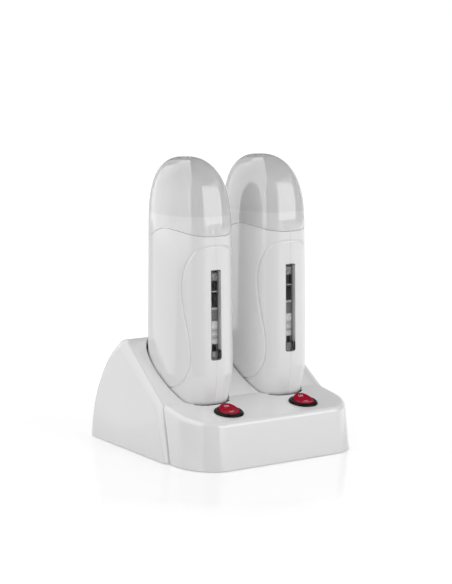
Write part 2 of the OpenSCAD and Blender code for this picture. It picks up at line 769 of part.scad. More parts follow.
module rounded_rect(w, h, r) {
    translate([0, h / 2]) {
        square([w - 2 * r, h], center = true);
        square([w, h - 2 * r], center = true);
        for (x = [-1, 1], y = [-1, 1]) translate([x * (w / 2 - r), y * (h / 2 - r)]) circle(r = r);
    }
}

// A slot along the window, grown by o all round, from depth y0 to y1 behind the front wall
module window_slot(o, y0, y1) {
    translate([0, -hand_d / 2 * grip_k(window_z), window_z]) rotate([-window_lean, 0, 0])
        translate([0, y1, -o]) rotate([90, 0, 0]) linear_extrude(y1 - y0)
            rounded_rect(window_w + 2 * o, window_h + 2 * o, window_r + max(o, 0));
}

// The well's outer form, grown by o
module well_outline(o, z0, z1) {
    wall = well_wall + o;
    lobe_prism(well_w + 2 * wall, well_d + 2 * wall, z0, z1);
}

module grip_bosses() {
    for (e = [-1, 1]) translate([0, e * boss_pitch / 2, boss_z]) rod_x(boss_r, -hand_w / 2, hand_w / 2);
}

module grip_half(side, half) {
    color(WHITE) at_hand(side) difference() {
        grip_form(0);
        difference() {
            grip_form(grip_wall, 2 * grip_wall);
            difference() {
                lobe_prism(hand_w, hand_d, low_shelf_z, low_shelf_z + shelf_t);
                lobe_prism(0.8 * well_w, 0.85 * well_d, 0, crest_z);
            }
            difference() {
                lobe_prism(hand_w, hand_d, high_shelf_z, high_shelf_z + shelf_t);
                well_outline(fit_gap, 0, crest_z);
            }
            grip_bosses();
        }
        window_slot(0, -hand_d / 8, 2 * grip_wall);
        bar(-contact_w / 2 - fit_gap, contact_w / 2 + fit_gap,
            -contact_d / 2 - fit_gap, contact_d / 2 + fit_gap, 0, grip_z + 2 * grip_wall);
        for (e = [-1, 1]) translate([0, e * boss_pitch / 2, boss_z]) {
            if (half < 0) rod_x(pilot_r, -boss_screw_l - pilot_r, pilot_r);
            if (half > 0) rod_x(screw_r + fit_gap, -screw_r, hand_w);
            if (half > 0) rod_x(screw_head_r + fit_gap, boss_seat_x, hand_w);
        }
        bar(half < 0 ? 0 : -hand_w, half < 0 ? hand_w : 0, -hand_d, hand_d, 0, cap_top);
    }
}

module window(side) {
    sink = hand_d / 2 * (grip_k(window_z) - grip_k(belly_z)) + window_wall / 2;
    back = grip_wall + window_wall;
    color(CLEAR) at_hand(side) difference() {
        union() {
            window_slot(-fit_gap, sink, window_deep);
            window_slot(window_flange, back, back + window_wall);
        }
        window_slot(-fit_gap - window_wall, sink + 1.5 * window_wall, 2 * window_deep);
    }
}

module collar(side) {
    z0 = high_shelf_z + shelf_t + touch_gap;
    k = grip_k(dome_z);
    w = hand_w * k - 2 * grip_wall - 2 * fit_gap;
    d = hand_d * k - 2 * grip_wall - 2 * fit_gap;
    color(WHITE) at_hand(side) difference() {
        lobe_prism(w, d, z0, collar_top);
        lobe_prism(w - 2 * collar_wall, d - 2 * collar_wall, 0, collar_top - collar_wall);
        lobe_prism(well_w, well_d, 0, cap_top);
    }
}

module well(side) {
    z0 = grip_z + well_from;
    color(METAL) at_hand(side) difference() {
        union() {
            well_outline(0, z0, collar_top - collar_wall - fit_gap);
            bar(0, pad_x, -pad_w / 2, pad_w / 2, pad_z, pad_z + pad_h);
            bar(-sight_w / 2, sight_w / 2, sight_y, 0, window_z, window_z + window_h);
        }
        lobe_prism(well_w, well_d, z0 + well_wall, cap_top);
        for (s = sight_slots)
            bar(sight_wall - sight_w / 2, sight_w / 2 - sight_wall, -hand_d / 2, 0,
                window_z + window_h * s[0], window_z + window_h * s[1]);
    }
}

module heater(side) {
    x0 = pad_x + touch_gap;
    color(BROWN) at_hand(side)
        bar(x0, x0 + heater_t, -0.45 * pad_w, 0.45 * pad_w, pad_z + clip_over, pad_z + pad_h - clip_over);
}

// A U-shaped spring over the heater, with its two ends beside the ends of the pad
module heater_clip(side) {
    x0 = pad_x;
    x1 = pad_x + heater_t + 2 * touch_gap;
    z0 = pad_z - touch_gap;
    z1 = pad_z + pad_h + touch_gap;
    color(STEEL) at_hand(side) {
        bar(x1, x1 + clip_t, -clip_w / 2, clip_w / 2, z0 - clip_t, z1 + clip_t);
        bar(x0, x1 + clip_t, -clip_w / 2, clip_w / 2, z0 - clip_t, z0);
        bar(x0, x1 + clip_t, -clip_w / 2, clip_w / 2, z1, z1 + clip_t);
    }
}

module thermostat(side) {
    y0 = well_d / 2 + well_wall + touch_gap;
    color(BLACK) at_hand(side)
        bar(-thermostat_w / 2, thermostat_w / 2, y0, y0 + thermostat_t, pad_z, pad_z + thermostat_h);
}

module contact_block(side) {
    flange_z = grip_z + grip_wall + touch_gap;
    x = contact_w / 2;
    y = contact_d / 2;
    color(BLACK) at_hand(side) difference() {
        union() {
            bar(-x, x, -y, y, grip_z + fit_gap, grip_z + contact_h);
            bar(-x - contact_flange, x + contact_flange, -y - contact_flange, y + contact_flange,
                flange_z, flange_z + contact_flange);
        }
        for (e = [-1, 1]) translate([e * pin_pitch / 2, 0, 0]) {
            rod(sleeve_r + run_gap, 0, grip_z + contact_h - contact_roof);
            rod(lead_r, grip_z, grip_z + 2 * contact_h);
        }
    }
}

module contact_sleeves(side) {
    color(BRASS) at_hand(side) for (e = [-1, 1]) translate([e * pin_pitch / 2, 0, 0]) difference() {
        rod(sleeve_r, grip_z + 2 * fit_gap, grip_z + contact_h - contact_roof - touch_gap);
        rod(pin_r + pin_gap, grip_z, grip_z + contact_h);
    }
}

module shell_screws(side) {
    color(STEEL) at_hand(side) for (e = [-1, 1])
        translate([boss_seat_x, e * boss_pitch / 2, boss_z])
            rotate([0, -90, 0]) screw(boss_seat_x + boss_screw_l);
}

// Share of the cap's section left at height z, for a form at depth o inside the cap
function cap_k(z, o) =
    z < dome_z ? grip_k(z) / grip_k(dome_z)
        : pow(max(0, 1 - pow((z - dome_z) / (cap_top - o - dome_z), dome_p)), 1 / dome_q);
function crown_y(z) = crown_shift * pow(max(0, z - dome_z) / (cap_top - dome_z), crown_pow);
function cap_point(p, z, o) = [p[0] * cap_k(z, o), p[1] * cap_k(z, o) + crown_y(z), z];
function dome_height(k, o) = lerp(dome_z, cap_top - o, pow(1 - pow(k, dome_q), 1 / dome_p));

// The cap's outer form, or its hollow, which reaches lower, when o is the wall thickness
module cap_form(o, lower) {
    k0 = grip_k(dome_z);
    flat = outline(hand_w * k0 - 2 * o, hand_d * k0 - 2 * o);
    function rim(y) = joint_z(y) + cap_seam - lower;
    skin(concat(
        [for (t = [0, 0.5, 1])
            [for (p = flat) cap_point(p, lerp(rim(p[1]), crest_z + dome_start / 2, t), o)]],
        [for (k = dome_widths) let (z = dome_height(k, o)) [for (p = flat) cap_point(p, z, o)]]
    ));
}

module cap(side) {
    color(CLEAR) at_hand(side) difference() {
        cap_form(0, 0);
        cap_form(cap_wall, cap_wall);
    }
}

base_shell();
base_plate();
base_feet();
base_screws();
cord_bush();
cord_clamp();
terminal_block();
inner_screws();
switch_body(-1);  // switch_body_left
switch_body(1);  // switch_body_right
rocker(-1);  // rocker_left
rocker(1);  // rocker_right
plunger(-1);  // plunger_left
plunger(1);  // plunger_right
seesaw(-1);  // seesaw_left
seesaw(1);  // seesaw_right
switch_terminals(-1);  // switch_terminals_left
switch_terminals(1);  // switch_terminals_right
dock_block(-1);  // dock_block_left
dock_block(1);  // dock_block_right
dock_pins(-1);  // dock_pins_left
dock_pins(1);  // dock_pins_right
grip_half(-1, -1);  // plain_half_left
grip_half(1, -1);  // plain_half_right
grip_half(-1, 1);  // screwed_half_left
grip_half(1, 1);  // screwed_half_right
window(-1);  // window_left
window(1);  // window_right
collar(-1);  // collar_left
collar(1);  // collar_right
well(-1);  // well_left
well(1);  // well_right
heater(-1);  // heater_left
heater(1);  // heater_right
heater_clip(-1);  // heater_clip_left
heater_clip(1);  // heater_clip_right
thermostat(-1);  // thermostat_left
thermostat(1);  // thermostat_right
contact_block(-1);  // contact_block_left
contact_block(1);  // contact_block_right
contact_sleeves(-1);  // contact_sleeves_left
contact_sleeves(1);  // contact_sleeves_right
shell_screws(-1);  // shell_screws_left
shell_screws(1);  // shell_screws_right
cap(-1);  // cap_left
cap(1);  // cap_right
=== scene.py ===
import math

import bpy
import numpy as np
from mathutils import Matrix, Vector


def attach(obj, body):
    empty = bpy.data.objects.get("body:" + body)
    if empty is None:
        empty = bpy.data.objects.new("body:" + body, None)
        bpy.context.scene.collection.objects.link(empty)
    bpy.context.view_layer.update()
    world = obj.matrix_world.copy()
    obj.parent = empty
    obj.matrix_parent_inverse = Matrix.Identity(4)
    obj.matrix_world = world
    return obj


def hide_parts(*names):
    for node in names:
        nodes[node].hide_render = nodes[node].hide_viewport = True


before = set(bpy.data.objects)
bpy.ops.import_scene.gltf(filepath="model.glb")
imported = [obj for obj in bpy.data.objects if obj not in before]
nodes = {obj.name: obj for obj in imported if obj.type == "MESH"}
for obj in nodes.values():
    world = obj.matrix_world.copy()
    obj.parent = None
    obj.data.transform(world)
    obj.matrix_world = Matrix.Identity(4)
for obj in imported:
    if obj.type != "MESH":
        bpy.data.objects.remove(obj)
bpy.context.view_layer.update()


# ---- Base shell -----------------------------------------------------------------------------
# One injection-moulded part of glossy white ABS makes the deck with the switches and the tall
# rear part that carries the handpieces: a wall of 2.5 mm, two deep pockets, an arched back that
# runs to the table. A polished mould leaves a faint waviness and a few paler flow lines.

BASE_W, BASE_D, BASE_WALL, SKIRT_GAP = 158.6, 163.2, 2.5, 0.6
DECK_FRONT_H, DECK_LEN, DECK_TILT = 35.0, 50.5, math.radians(8.8)
SLOPE_TILT, RIDGE_H, ARCH_D = math.radians(34.6), 86.0, 91.6
WALL_DRAFT, FLANK_DRAFT, SIDE_DRAFT, STEP_IN = 5.0, 2.5, 4.0, 2.8
GROOVE_FROM_REAR, CORNER_W, CORNER_D = 122.5, 27.0, 34.0
SIDE_EDGE_R, DECK_EDGE_R, RIDGE_R, ARCH_CHORD = 7.0, 3.5, 8.5, 12.0
SIDE_X = 34.5
SIDES = (("left", -1), ("right", 1))

FRONT_Y = -BASE_D / 2
DECK_Y = FRONT_Y + WALL_DRAFT
SLOPE_FOOT = np.array([DECK_Y + DECK_LEN, DECK_FRONT_H + DECK_LEN * math.tan(DECK_TILT)])
RIDGE = np.array([SLOPE_FOOT[0] + (RIDGE_H - SLOPE_FOOT[1]) / math.tan(SLOPE_TILT), RIDGE_H])
ARCH_Y = BASE_D / 2 - ARCH_D
ARCH_H = RIDGE_H / math.sqrt(1 - ((RIDGE[0] - ARCH_Y) / ARCH_D) ** 2)
GROOVE_FOOT = np.array([BASE_D / 2 - GROOVE_FROM_REAR, 0.0])


class Wire:
    """An output of a shader node. Sums, products and comparisons with it add Math nodes."""

    def __init__(self, tree, socket=None):
        self.tree = tree
        self.socket = socket

    def node(self, kind, settings=None, inputs=None, output=0):
        """Adds a node with its settings, a ramp's stops among them, and its sockets' values or
        wires."""
        made = self.tree.nodes.new("ShaderNode" + kind)
        for setting, value in (settings or {}).items():
            if setting == "stops":
                while len(made.color_ramp.elements) < len(value):
                    made.color_ramp.elements.new(0.5)
                for element, (place, shade) in zip(made.color_ramp.elements, value):
                    element.position = place
                    element.color = (*shade, 1) if np.ndim(shade) else (shade, shade, shade, 1)
            else:
                setattr(made, setting, value)
        for place, value in (inputs or {}).items():
            if isinstance(value, Wire):
                self.tree.links.new(value.socket, made.inputs[place])
            else:
                made.inputs[place].default_value = value
        return Wire(self.tree, made.outputs[output])

    def maths(self, operation, *others):
        return self.node("Math", {"operation": operation}, dict(enumerate((self, *others))))

    def clamped(self):
        return self.node("Clamp", {}, {"Value": self})

    def __add__(self, other):
        return self.maths("ADD", other)

    def __sub__(self, other):
        return self.maths("SUBTRACT", other)

    def __rsub__(self, other):
        return self.node("Math", {"operation": "SUBTRACT"}, {0: other, 1: self})

    def __mul__(self, other):
        return self.maths("MULTIPLY", other)

    __radd__, __rmul__ = __add__, __mul__

    def __gt__(self, other):
        return self.maths("GREATER_THAN", other)

    def __lt__(self, other):
        return self.maths("LESS_THAN", other)


def bare_material(name):
    """A material without a surface, the place on the piece in millimetres, and its X, Y and Z."""
    material = bpy.data.materials.new(name)
    material.use_nodes = True
    tree = material.node_tree
    tree.nodes.clear()
    place = Wire(tree).node("TexCoord", output="Object")
    place = place.node("VectorMath", {"operation": "SCALE"}, {0: place, "Scale": 1000.0})
    split = place.node("SeparateXYZ", {}, {0: place}).socket.node
    return material, place, [Wire(tree, axis) for axis in split.outputs]


def close_material(material, surface):
    """Joins the surface to the material's output."""
    tree = material.node_tree
    tree.links.new(surface.socket, tree.nodes.new("ShaderNodeOutputMaterial").inputs["Surface"])
    return material


def noise(place, scale, detail, **more):
    """Fractal noise over the place, from 0 to 1, in the given number of ever finer layers."""
    return place.node("TexNoise", {}, {"Vector": place, "Scale": scale, "Detail": detail, **more})


def bumped(height, strength, distance=0.0001):
    """The surface's direction, tipped by how steeply the height changes."""
    return height.node("Bump", {}, {"Height": height, "Strength": strength, "Distance": distance})


def shade_between(low, high, share):
    """Colour mixed from low to high, each a wire or red, green and blue, by a wire from 0 to 1."""
    low, high = (shade if isinstance(shade, Wire) else (*shade, 1) for shade in (low, high))
    return share.node("Mix", {"data_type": "RGBA"}, {0: share, 6: low, 7: high}, output=2)


def moulded(name, colour, paler, roughness, wave, grain_scale, ior=1.6, painted_shade=None):
    """Polished moulding: slow colour drift, gloss that varies a little, and a faint wave in its
    reflections. Where the wire that the shade mask makes of the place is 1, black is painted as shade."""
    material, place, (x, y, z) = bare_material(name)
    shade = shade_between(colour, paler, noise(place, 0.02, 2.0))
    rub = noise(place, 0.11, 4.0)
    if painted_shade:
        shade = shade_between(shade, (0.01, 0.01, 0.01), painted_shade(x, y, z))
    surface = place.node("BsdfPrincipled", {}, {
        "Base Color": shade, "Roughness": roughness * 0.75 + roughness * 0.5 * rub, "IOR": ior,
        "Normal": bumped(noise(place, grain_scale, 3.0), wave, 0.0002)})
    return close_material(material, surface)


WHITE = (0.82, 0.82, 0.825), (0.85, 0.85, 0.85), 0.12, 0.04, 0.35
white_gloss = moulded("white_gloss", *WHITE)


def grid_quads(rows, columns, closed):
    """Quads between the neighbouring points of a grid that is stored row after row; closed joins
    its last column to its first."""
    row = np.arange(rows - 1)[:, None]
    column = np.arange(columns if closed else columns - 1)[None, :]
    after = (column + 1) % columns
    quads = [row * columns + column, row * columns + after,
             (row + 1) * columns + after, (row + 1) * columns + column]
    return np.stack(np.broadcast_arrays(*quads), -1).reshape(-1, 4)


def piece(name, points, faces, body, material, crease=35):
    """An object from points in millimetres and faces; edges over the crease angle stay crisp."""
    mesh = bpy.data.meshes.new(name)
    mesh.from_pydata((np.asarray(points, float).reshape(-1, 3) * 0.001).tolist(), [], faces)
    made = bpy.data.objects.new(name, mesh)
    bpy.context.scene.collection.objects.link(made)
    finish_mesh(made, material, crease)
    if body:
        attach(made, body)
    return made


def finish_mesh(made, material, crease):
    """Turns the faces outwards, shades them smooth up to the crease angle and gives the material."""
    bpy.ops.object.select_all(action="DESELECT")
    bpy.context.view_layer.objects.active = made
    made.select_set(True)
    bpy.ops.object.mode_set(mode="EDIT")
    bpy.ops.mesh.select_all(action="SELECT")
    bpy.ops.mesh.normals_make_consistent(inside=False)
    bpy.ops.object.mode_set(mode="OBJECT")
    made.data.shade_smooth()
    made.data.set_sharp_from_angle(angle=math.radians(crease))
    made.data.materials.clear()
    made.data.materials.append(material)


def deck_z(y):
    """Height of the deck's plane at depth y: its front height plus the tangent of its tilt per mm."""
    return DECK_FRONT_H + (y - DECK_Y) * math.tan(DECK_TILT)


def ring_faces(rows, columns):
    """Quads between closed rings, with the first and the last ring each closed by one flat face."""
    ends = [list(range(columns)), list(range((rows - 1) * columns, rows * columns))]
    return grid_quads(rows, columns, True).tolist() + ends


def stack_of_rings(name, rings):
    """A closed skin over equal rings, each a row of points."""
    return piece(name, rings, ring_faces(*rings.shape[:2]), None, white_gloss)


def block(name, half_w, y0, y1, z0, z1):
    """A box from -half_w to half_w across, from y0 to y1 in depth and from z0 to z1 in height."""
    corners = (-half_w, z0), (half_w, z0), (half_w, z1), (-half_w, z1)
    return stack_of_rings(name, np.array([[[x, y, z] for x, z in corners] for y in (y0, y1)], float))


def deck_rings(into, z0):
    """Rings of the deck block at a depth inside its walls: the foot at z0, then the deck's edge
    rolled over a quarter circle."""
    turn = np.radians(np.linspace(270, 360, 37))
    roll = np.radians(np.linspace(0, 90, 15))
    r = max(DECK_EDGE_R - into, 1)
    inset = np.r_[into, into + r * (1 - np.cos(roll))][:, None]
    share = np.r_[z0 / DECK_FRONT_H, np.ones(roll.size)][:, None]
    half_w = CORNER_W - inset - FLANK_DRAFT * share
    x = BASE_W / 2 - STEP_IN - CORNER_W + half_w * np.r_[np.cos(turn), 1]
    y = FRONT_Y + CORNER_D + (CORNER_D - inset - WALL_DRAFT * share) * np.sin(turn)
    y = np.hstack([y, np.full((y.shape[0], 1), SLOPE_FOOT[1] / 2)])
    x, y = np.hstack([-x[:, ::-1], x]), np.hstack([y[:, ::-1], y])
    z = deck_z(y) - into / math.cos(DECK_TILT) - r * (1 - np.sin(np.r_[0, roll]))[:, None]
    z[0] = z0
    return np.stack([x, y, z], -1)


def unit(v):
    """The vector divided by its length."""
    return v / np.linalg.norm(v)


def left_of(a, b):
    """Unit vector square to the line from a to b, on its left."""
    return np.array([-unit(b - a)[1], unit(b - a)[0]])


def arch(z, into):
    """Y and Z of the back wall in the middle plane: an ellipse, smaller by the depth inside."""
    return np.stack([ARCH_Y + (ARCH_D - into) * np.sqrt(1 - (z / (ARCH_H - into)) ** 2), z], -1)


ARCH_POINT = arch(np.array(RIDGE_H - ARCH_CHORD), 0)
to_foot, to_arch = unit(SLOPE_FOOT - RIDGE), unit(ARCH_POINT - RIDGE)
RIDGE_CENTRE = RIDGE + unit(to_foot + to_arch) * RIDGE_R / math.sin(math.acos(to_foot @ to_arch) / 2)


def tower_line(into, z0):
    """Side outline of the rear part at a depth inside it: the groove line, the arched back, the
    rounded ridge and the slope's foot."""
    side, slope = left_of(GROOVE_FOOT, SLOPE_FOOT), left_of(SLOPE_FOOT, RIDGE)
    start = GROOVE_FOOT - into * side
    along = unit(SLOPE_FOOT - GROOVE_FOOT)
    back = arch(np.linspace(z0, ARCH_POINT[1] - into, 60), into)
    back_normal = left_of(RIDGE, ARCH_POINT)
    turn = np.linspace(math.atan2(back_normal[1], back_normal[0]), math.atan2(slope[1], slope[0]), 25)
    over = RIDGE_CENTRE + (RIDGE_R - into) * np.stack([np.cos(turn), np.sin(turn)], -1)
    foot = SLOPE_FOOT - into * (side + slope) / (1 + side @ slope)
    return np.vstack([start + along * (z0 - start[1]) / along[1], back, over, foot])


def tower_rings(into, z0):
    """Side outlines of the rear part stacked from left to right, shrinking at both ends round its
    side edges."""
    r = SIDE_EDGE_R - into
    rings = []
    for side in (-1, 1):
        roll = np.radians(np.linspace(0, 90, 19))[::-side]
        for angle in roll:
            line = tower_line(into + r * (1 - math.sin(angle)), z0)
            half_w = BASE_W / 2 - into - r * (1 - math.cos(angle)) - SIDE_DRAFT * line[:, 1] / RIDGE_H
            rings.append(np.column_stack([side * half_w, line]))
    return np.stack(rings)


HAND_W, HAND_D, HAND_N, HAND_Y = 53.6, 77.2, 2.6, SLOPE_FOOT[0] + 24.5
GRIP_H, BELLY_H, TOP_TAPER, TUCK, BOTTOM_R = 136.8, 25.8, 0.04, 4.6, 3.6
TUCK_POWER, POCKET_GAP, POCKET_DEPTH, STAND_GAP = 1.25, 1.0, 2.8, 0.2
POCKET_Z = deck_z(HAND_Y - HAND_D / 2) - POCKET_DEPTH
GRIP_Z = POCKET_Z + STAND_GAP
CREST_Z = GRIP_Z + GRIP_H
BELLY_Z = GRIP_Z + BELLY_H


def lobe(angle):
    """Unit section of a handpiece, a superellipse: cosine and sine to the power 2/n, with their
    signs."""
    c, s = np.cos(angle), np.sin(angle)
    power = 2 / HAND_N
    return np.sign(c) * np.abs(c) ** power, np.sign(s) * np.abs(s) ** power


def lobe_by_length():
    """Table from the length along the right half of the belly's section, from the front seam round
    to the back, to the unit section."""
    angle = np.linspace(-math.pi / 2, math.pi / 2, 20001)
    cx, cy = lobe(angle)
    steps = np.hypot(np.diff(cx) * HAND_W / 2, np.diff(cy) * HAND_D / 2)
    return np.r_[0, np.cumsum(steps)], np.abs(cx), cy


ARC, ARC_X, ARC_Y = lobe_by_length()
HALF_ROUND = ARC[-1]


def grip_inset(z):
    """How far the wall lies inside the belly's section: the tuck to the foot, a power of the height,
    and a quarter circle at the very bottom."""
    h = np.maximum(z - GRIP_Z, 0)
    below = TUCK * np.clip(1 - h / BELLY_H, 0, 1) ** TUCK_POWER
    low = np.clip(1 - h / BOTTOM_R, 0, 1)
    return below + BOTTOM_R * (1 - np.sqrt(np.maximum(0, 1 - low * low)))


def grip_k(z):
    """Size of the section above the belly, which tapers evenly up to the crest."""
    return 1 - TOP_TAPER * np.clip((z - BELLY_Z) / (CREST_Z - BELLY_Z), 0, None)


def around(length, z, into):
    """X and Y on the right half of a handpiece's wall, at a length from the front seam, a height and
    a depth inside."""
    inset = 2 * (grip_inset(z) + into)
    x = np.interp(length, ARC, ARC_X) * (HAND_W * grip_k(z) - inset) / 2
    y = np.interp(length, ARC, ARC_Y) * (HAND_D * grip_k(z) - inset) / 2
    return x, y


def pocket_rings(side, into):
    """Rings of a handpiece's lower wall, moved outwards by the gap, from the pocket's floor to above
    the ridge."""
    lowest = 0.35 * BOTTOM_R
    wall = np.r_[lowest, np.linspace(BOTTOM_R, BELLY_H, 14)]
    heights = np.r_[POCKET_Z - into, GRIP_Z + wall, RIDGE_H + 8]
    shape_at = np.clip(heights, GRIP_Z + lowest, BELLY_Z)
    length = np.linspace(0, HALF_ROUND, 61)
    rings = []
    for z, at in zip(heights, shape_at):
        x, y = around(length, at, -POCKET_GAP - into)
        x, y = np.r_[x, -x[-2:0:-1]], np.r_[y, y[-2:0:-1]]
        rings.append(np.column_stack([x + side * SIDE_X, y + HAND_Y, np.full(x.size, z)]))
    return np.stack(rings)


# Painted shade: how far below the deck the pockets turn black, and where the painted shadow line lies round
# each handpiece's foot.
SHADE_MARGIN, SHADE_DEPTH = 0.3, 4.0
SHADOW_LINE_INSET, SHADOW_LINE_FORWARD, SHADOW_LINE_RISE, SHADOW_LINE_END = 0.2, 2.3, 0.25, HAND_Y - 0.4 * HAND_D


def painted_pocket_shade(x, y, z):
    """1 where black is painted as shade: on the walls and floors of the two pockets, which lie in deep
    shade, and on a thin painted shadow line round the front of each handpiece's foot."""
    def inside(margin, forward):
        """1 inside the pocket's superellipse, widened by a margin and moved forward."""
        across = (x.maths("ABSOLUTE") - SIDE_X) * (1 / (HAND_W / 2 + POCKET_GAP + margin))
        along = (y - HAND_Y + forward) * (1 / (HAND_D / 2 + POCKET_GAP + margin))
        return sum(part.maths("ABSOLUTE").maths("POWER", HAND_N) for part in (across, along)) < 1.0

    deck = (y - DECK_Y) * math.tan(DECK_TILT) + DECK_FRONT_H
    slope = (y - SLOPE_FOOT[0]) * math.tan(SLOPE_TILT) + SLOPE_FOOT[1]
    depth = deck.maths("MAXIMUM", slope) - z
    walls = inside(SHADE_MARGIN, 0.0) * (depth > SHADE_DEPTH)
    foot_inset = float(grip_inset(deck_z(HAND_Y - HAND_D / 2)))
    line = inside(-SHADOW_LINE_INSET - foot_inset, SHADOW_LINE_FORWARD) * (depth > -SHADOW_LINE_RISE) * (y < SHADOW_LINE_END)
    return walls.maths("MAXIMUM", line)


def combine(target, tool, operation):
    """Joins the tool to the target, or cuts it away, and removes the tool."""
    step = target.modifiers.new("step", "BOOLEAN")
    step.operation, step.solver, step.object = operation, "EXACT", tool
    graph = bpy.context.evaluated_depsgraph_get()
    target.data = bpy.data.meshes.new_from_object(target.evaluated_get(graph))
    target.modifiers.clear()
    bpy.data.objects.remove(tool)


def revolved(profile, turns=96):
    """Rings of a profile of radius and height, carried once round the Z axis."""
    angle = np.linspace(0, 2 * math.pi, turns, endpoint=False)
    profile = np.asarray(profile, float)
    return np.stack([profile[:, :1] * np.cos(angle), profile[:, :1] * np.sin(angle),
                     np.repeat(profile[:, 1:], turns, 1)], -1)


SWITCH_BACK = 20.0
SWITCH_Y = DECK_Y + SWITCH_BACK
HOUSING_R, HOUSING_H, BEZEL_R, BEZEL_H, HOLE_GAP = 9.9, 14.0, 11.5, 2.0, 0.25
STEP_GAP, STEP_DEPTH = 1.1, 1.6
PIN_X, PIN_HOLE_R = 6.0, 2.25
TAB_HALF, TAB_TOP, TAB_Y, PLATE_GAP = 10.0, 23.15, 66.18, 0.4
OVERCUT, BEYOND_Y, BEYOND_Z = 5.0, 90, 120


def on_deck(points, side):
    """Points drawn round a switch's middle at the deck's level, tilted with the deck and placed."""
    x, y, z = np.moveaxis(np.asarray(points, float), -1, 0)
    c, s = math.cos(DECK_TILT), math.sin(DECK_TILT)
    y, z = y * c - z * s, y * s + z * c
    return np.stack([x + side * SIDE_X, y + SWITCH_Y, z + deck_z(SWITCH_Y)], -1)


base_shell = stack_of_rings("base_moulding", deck_rings(0, SKIRT_GAP))
slot = stack_of_rings("slot", tower_rings(-STEP_GAP, SKIRT_GAP - 1))
slot_half = BASE_W / 2 - STEP_IN - FLANK_DRAFT - STEP_DEPTH
combine(slot, block("slot_core", slot_half, -BEYOND_Y, BEYOND_Y, -OVERCUT, BEYOND_Z), "DIFFERENCE")
combine(base_shell, slot, "DIFFERENCE")
combine(base_shell, stack_of_rings("tower", tower_rings(0, SKIRT_GAP)), "UNION")
hollow = stack_of_rings("hollow", deck_rings(BASE_WALL, SKIRT_GAP - BASE_WALL))
combine(hollow, stack_of_rings("tower_hollow", tower_rings(BASE_WALL, SKIRT_GAP - BASE_WALL)), "UNION")
for _, side in SIDES:
    combine(hollow, stack_of_rings("pocket_wall", pocket_rings(side, BASE_WALL)), "DIFFERENCE")
combine(base_shell, hollow, "DIFFERENCE")
for _, side in SIDES:
    combine(base_shell, stack_of_rings("pocket", pocket_rings(side, 0)), "DIFFERENCE")
    hole = revolved([[HOUSING_R + HOLE_GAP, -HOUSING_H], [HOUSING_R + HOLE_GAP, BEZEL_H]])
    combine(base_shell, stack_of_rings("hole", on_deck(hole, side)), "DIFFERENCE")
    for pin in (-PIN_X, PIN_X):
        hole = revolved([[PIN_HOLE_R, POCKET_Z - OVERCUT], [PIN_HOLE_R, POCKET_Z + OVERCUT / 2]], 32)
        hole = hole + [side * SIDE_X + pin, HAND_Y, 0]
        combine(base_shell, stack_of_rings("hole", hole), "DIFFERENCE")
notch = block("notch", TAB_HALF + PLATE_GAP, TAB_Y, BEYOND_Y, -OVERCUT, TAB_TOP + PLATE_GAP)
combine(base_shell, notch, "DIFFERENCE")
# The base's white carries painted shade: black in the pockets and a thin painted shadow line round each
# handpiece's foot.
finish_mesh(base_shell, moulded("base_white", *WHITE, painted_shade=painted_pocket_shade), 35)
weights = base_shell.modifiers.new("flat faces first", "WEIGHTED_NORMAL")
weights.keep_sharp = True
weights.weight = 80
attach(base_shell, "base")
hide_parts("base_shell")


# ---- Base plate, feet and fittings ----------------------------------------------------------
# A flat ABS plate closes the base from below, held by four screws in round wells, and stands on
# four rubber feet. The cord bush, clamp, terminal block and dock blocks are plain mouldings.

def matt_moulded(name, colour, paler, roughness, grain):
    """Unpolished moulding or rubber: an even fine grain that breaks up its highlights."""
    material, place, axes = bare_material(name)
    pores = noise(place, 2.5, 4.0)
    surface = place.node("BsdfPrincipled", {}, {
        "Base Color": shade_between(colour, paler, noise(place, 0.05, 3.0)),
        "Roughness": roughness * 0.85 + roughness * 0.3 * pores, "Normal": bumped(pores, grain)})
    return close_material(material, surface)


def drawn_lines(place, stretch, scale, detail):
    """Noise over a place shrunk along Z, so that it draws out into lines."""
    return noise(place.node("Mapping", {}, {"Vector": place, "Scale": stretch}), scale, detail)


def brushed_metal(name, colour, darker, roughness):
    """Rolled or drawn metal: fine lines along its length that change its gloss and shade."""
    material, place, axes = bare_material(name)
    lines = drawn_lines(place, (3.0, 3.0, 0.15), 1.5, 5.0)
    surface = place.node("BsdfPrincipled", {}, {
        "Base Color": shade_between(darker, colour, lines), "Metallic": 1.0,
        "Roughness": roughness * 0.7 + roughness * 0.6 * lines, "Normal": bumped(lines, 0.15)})
    return close_material(material, surface)


white_matt = matt_moulded("white_matt", (0.78, 0.78, 0.785), (0.82, 0.82, 0.82), 0.45, 0.25)
rubber = matt_moulded("rubber", (0.025, 0.025, 0.026), (0.045, 0.045, 0.046), 0.7, 0.4)
black_plain = matt_moulded("black_plain", (0.018, 0.018, 0.02), (0.03, 0.03, 0.032), 0.38, 0.2)
steel = brushed_metal("zinc_plated_steel", (0.62, 0.63, 0.65), (0.45, 0.46, 0.48), 0.3)
brass = brushed_metal("plated_brass", (0.78, 0.62, 0.32), (0.6, 0.45, 0.2), 0.25)
heater_plate = matt_moulded("heater_plate", (0.30, 0.14, 0.05), (0.42, 0.22, 0.09), 0.5, 0.3)


def dress(material, *names):
    """Gives CAD nodes their material."""
    for name in names:
        nodes[name].data.materials.clear()
        nodes[name].data.materials.append(material)


def both(*names):
    """Each name with the left and the right side's ending."""
    return [f"{name}_{side}" for name in names for side, _ in SIDES]


dress(white_matt, "base_plate", "cord_clamp")
dress(rubber, "base_feet", "cord_bush")
dress(black_plain, "terminal_block", *both("dock_block", "contact_block", "thermostat"))
dress(steel, "base_screws", "inner_screws", *both("shell_screws", "heater_clip"))
dress(brass, *both("dock_pins", "contact_sleeves", "seesaw", "switch_terminals"))
dress(heater_plate, *both("heater"))


# ---- Switches -------------------------------------------------------------------------------
# Two round snap-in rocker switches stand in the deck. Each has a glossy black housing with a
# rounded bezel, and a red nylon rocker whose two wings lie 24 degrees apart, the front one pressed.

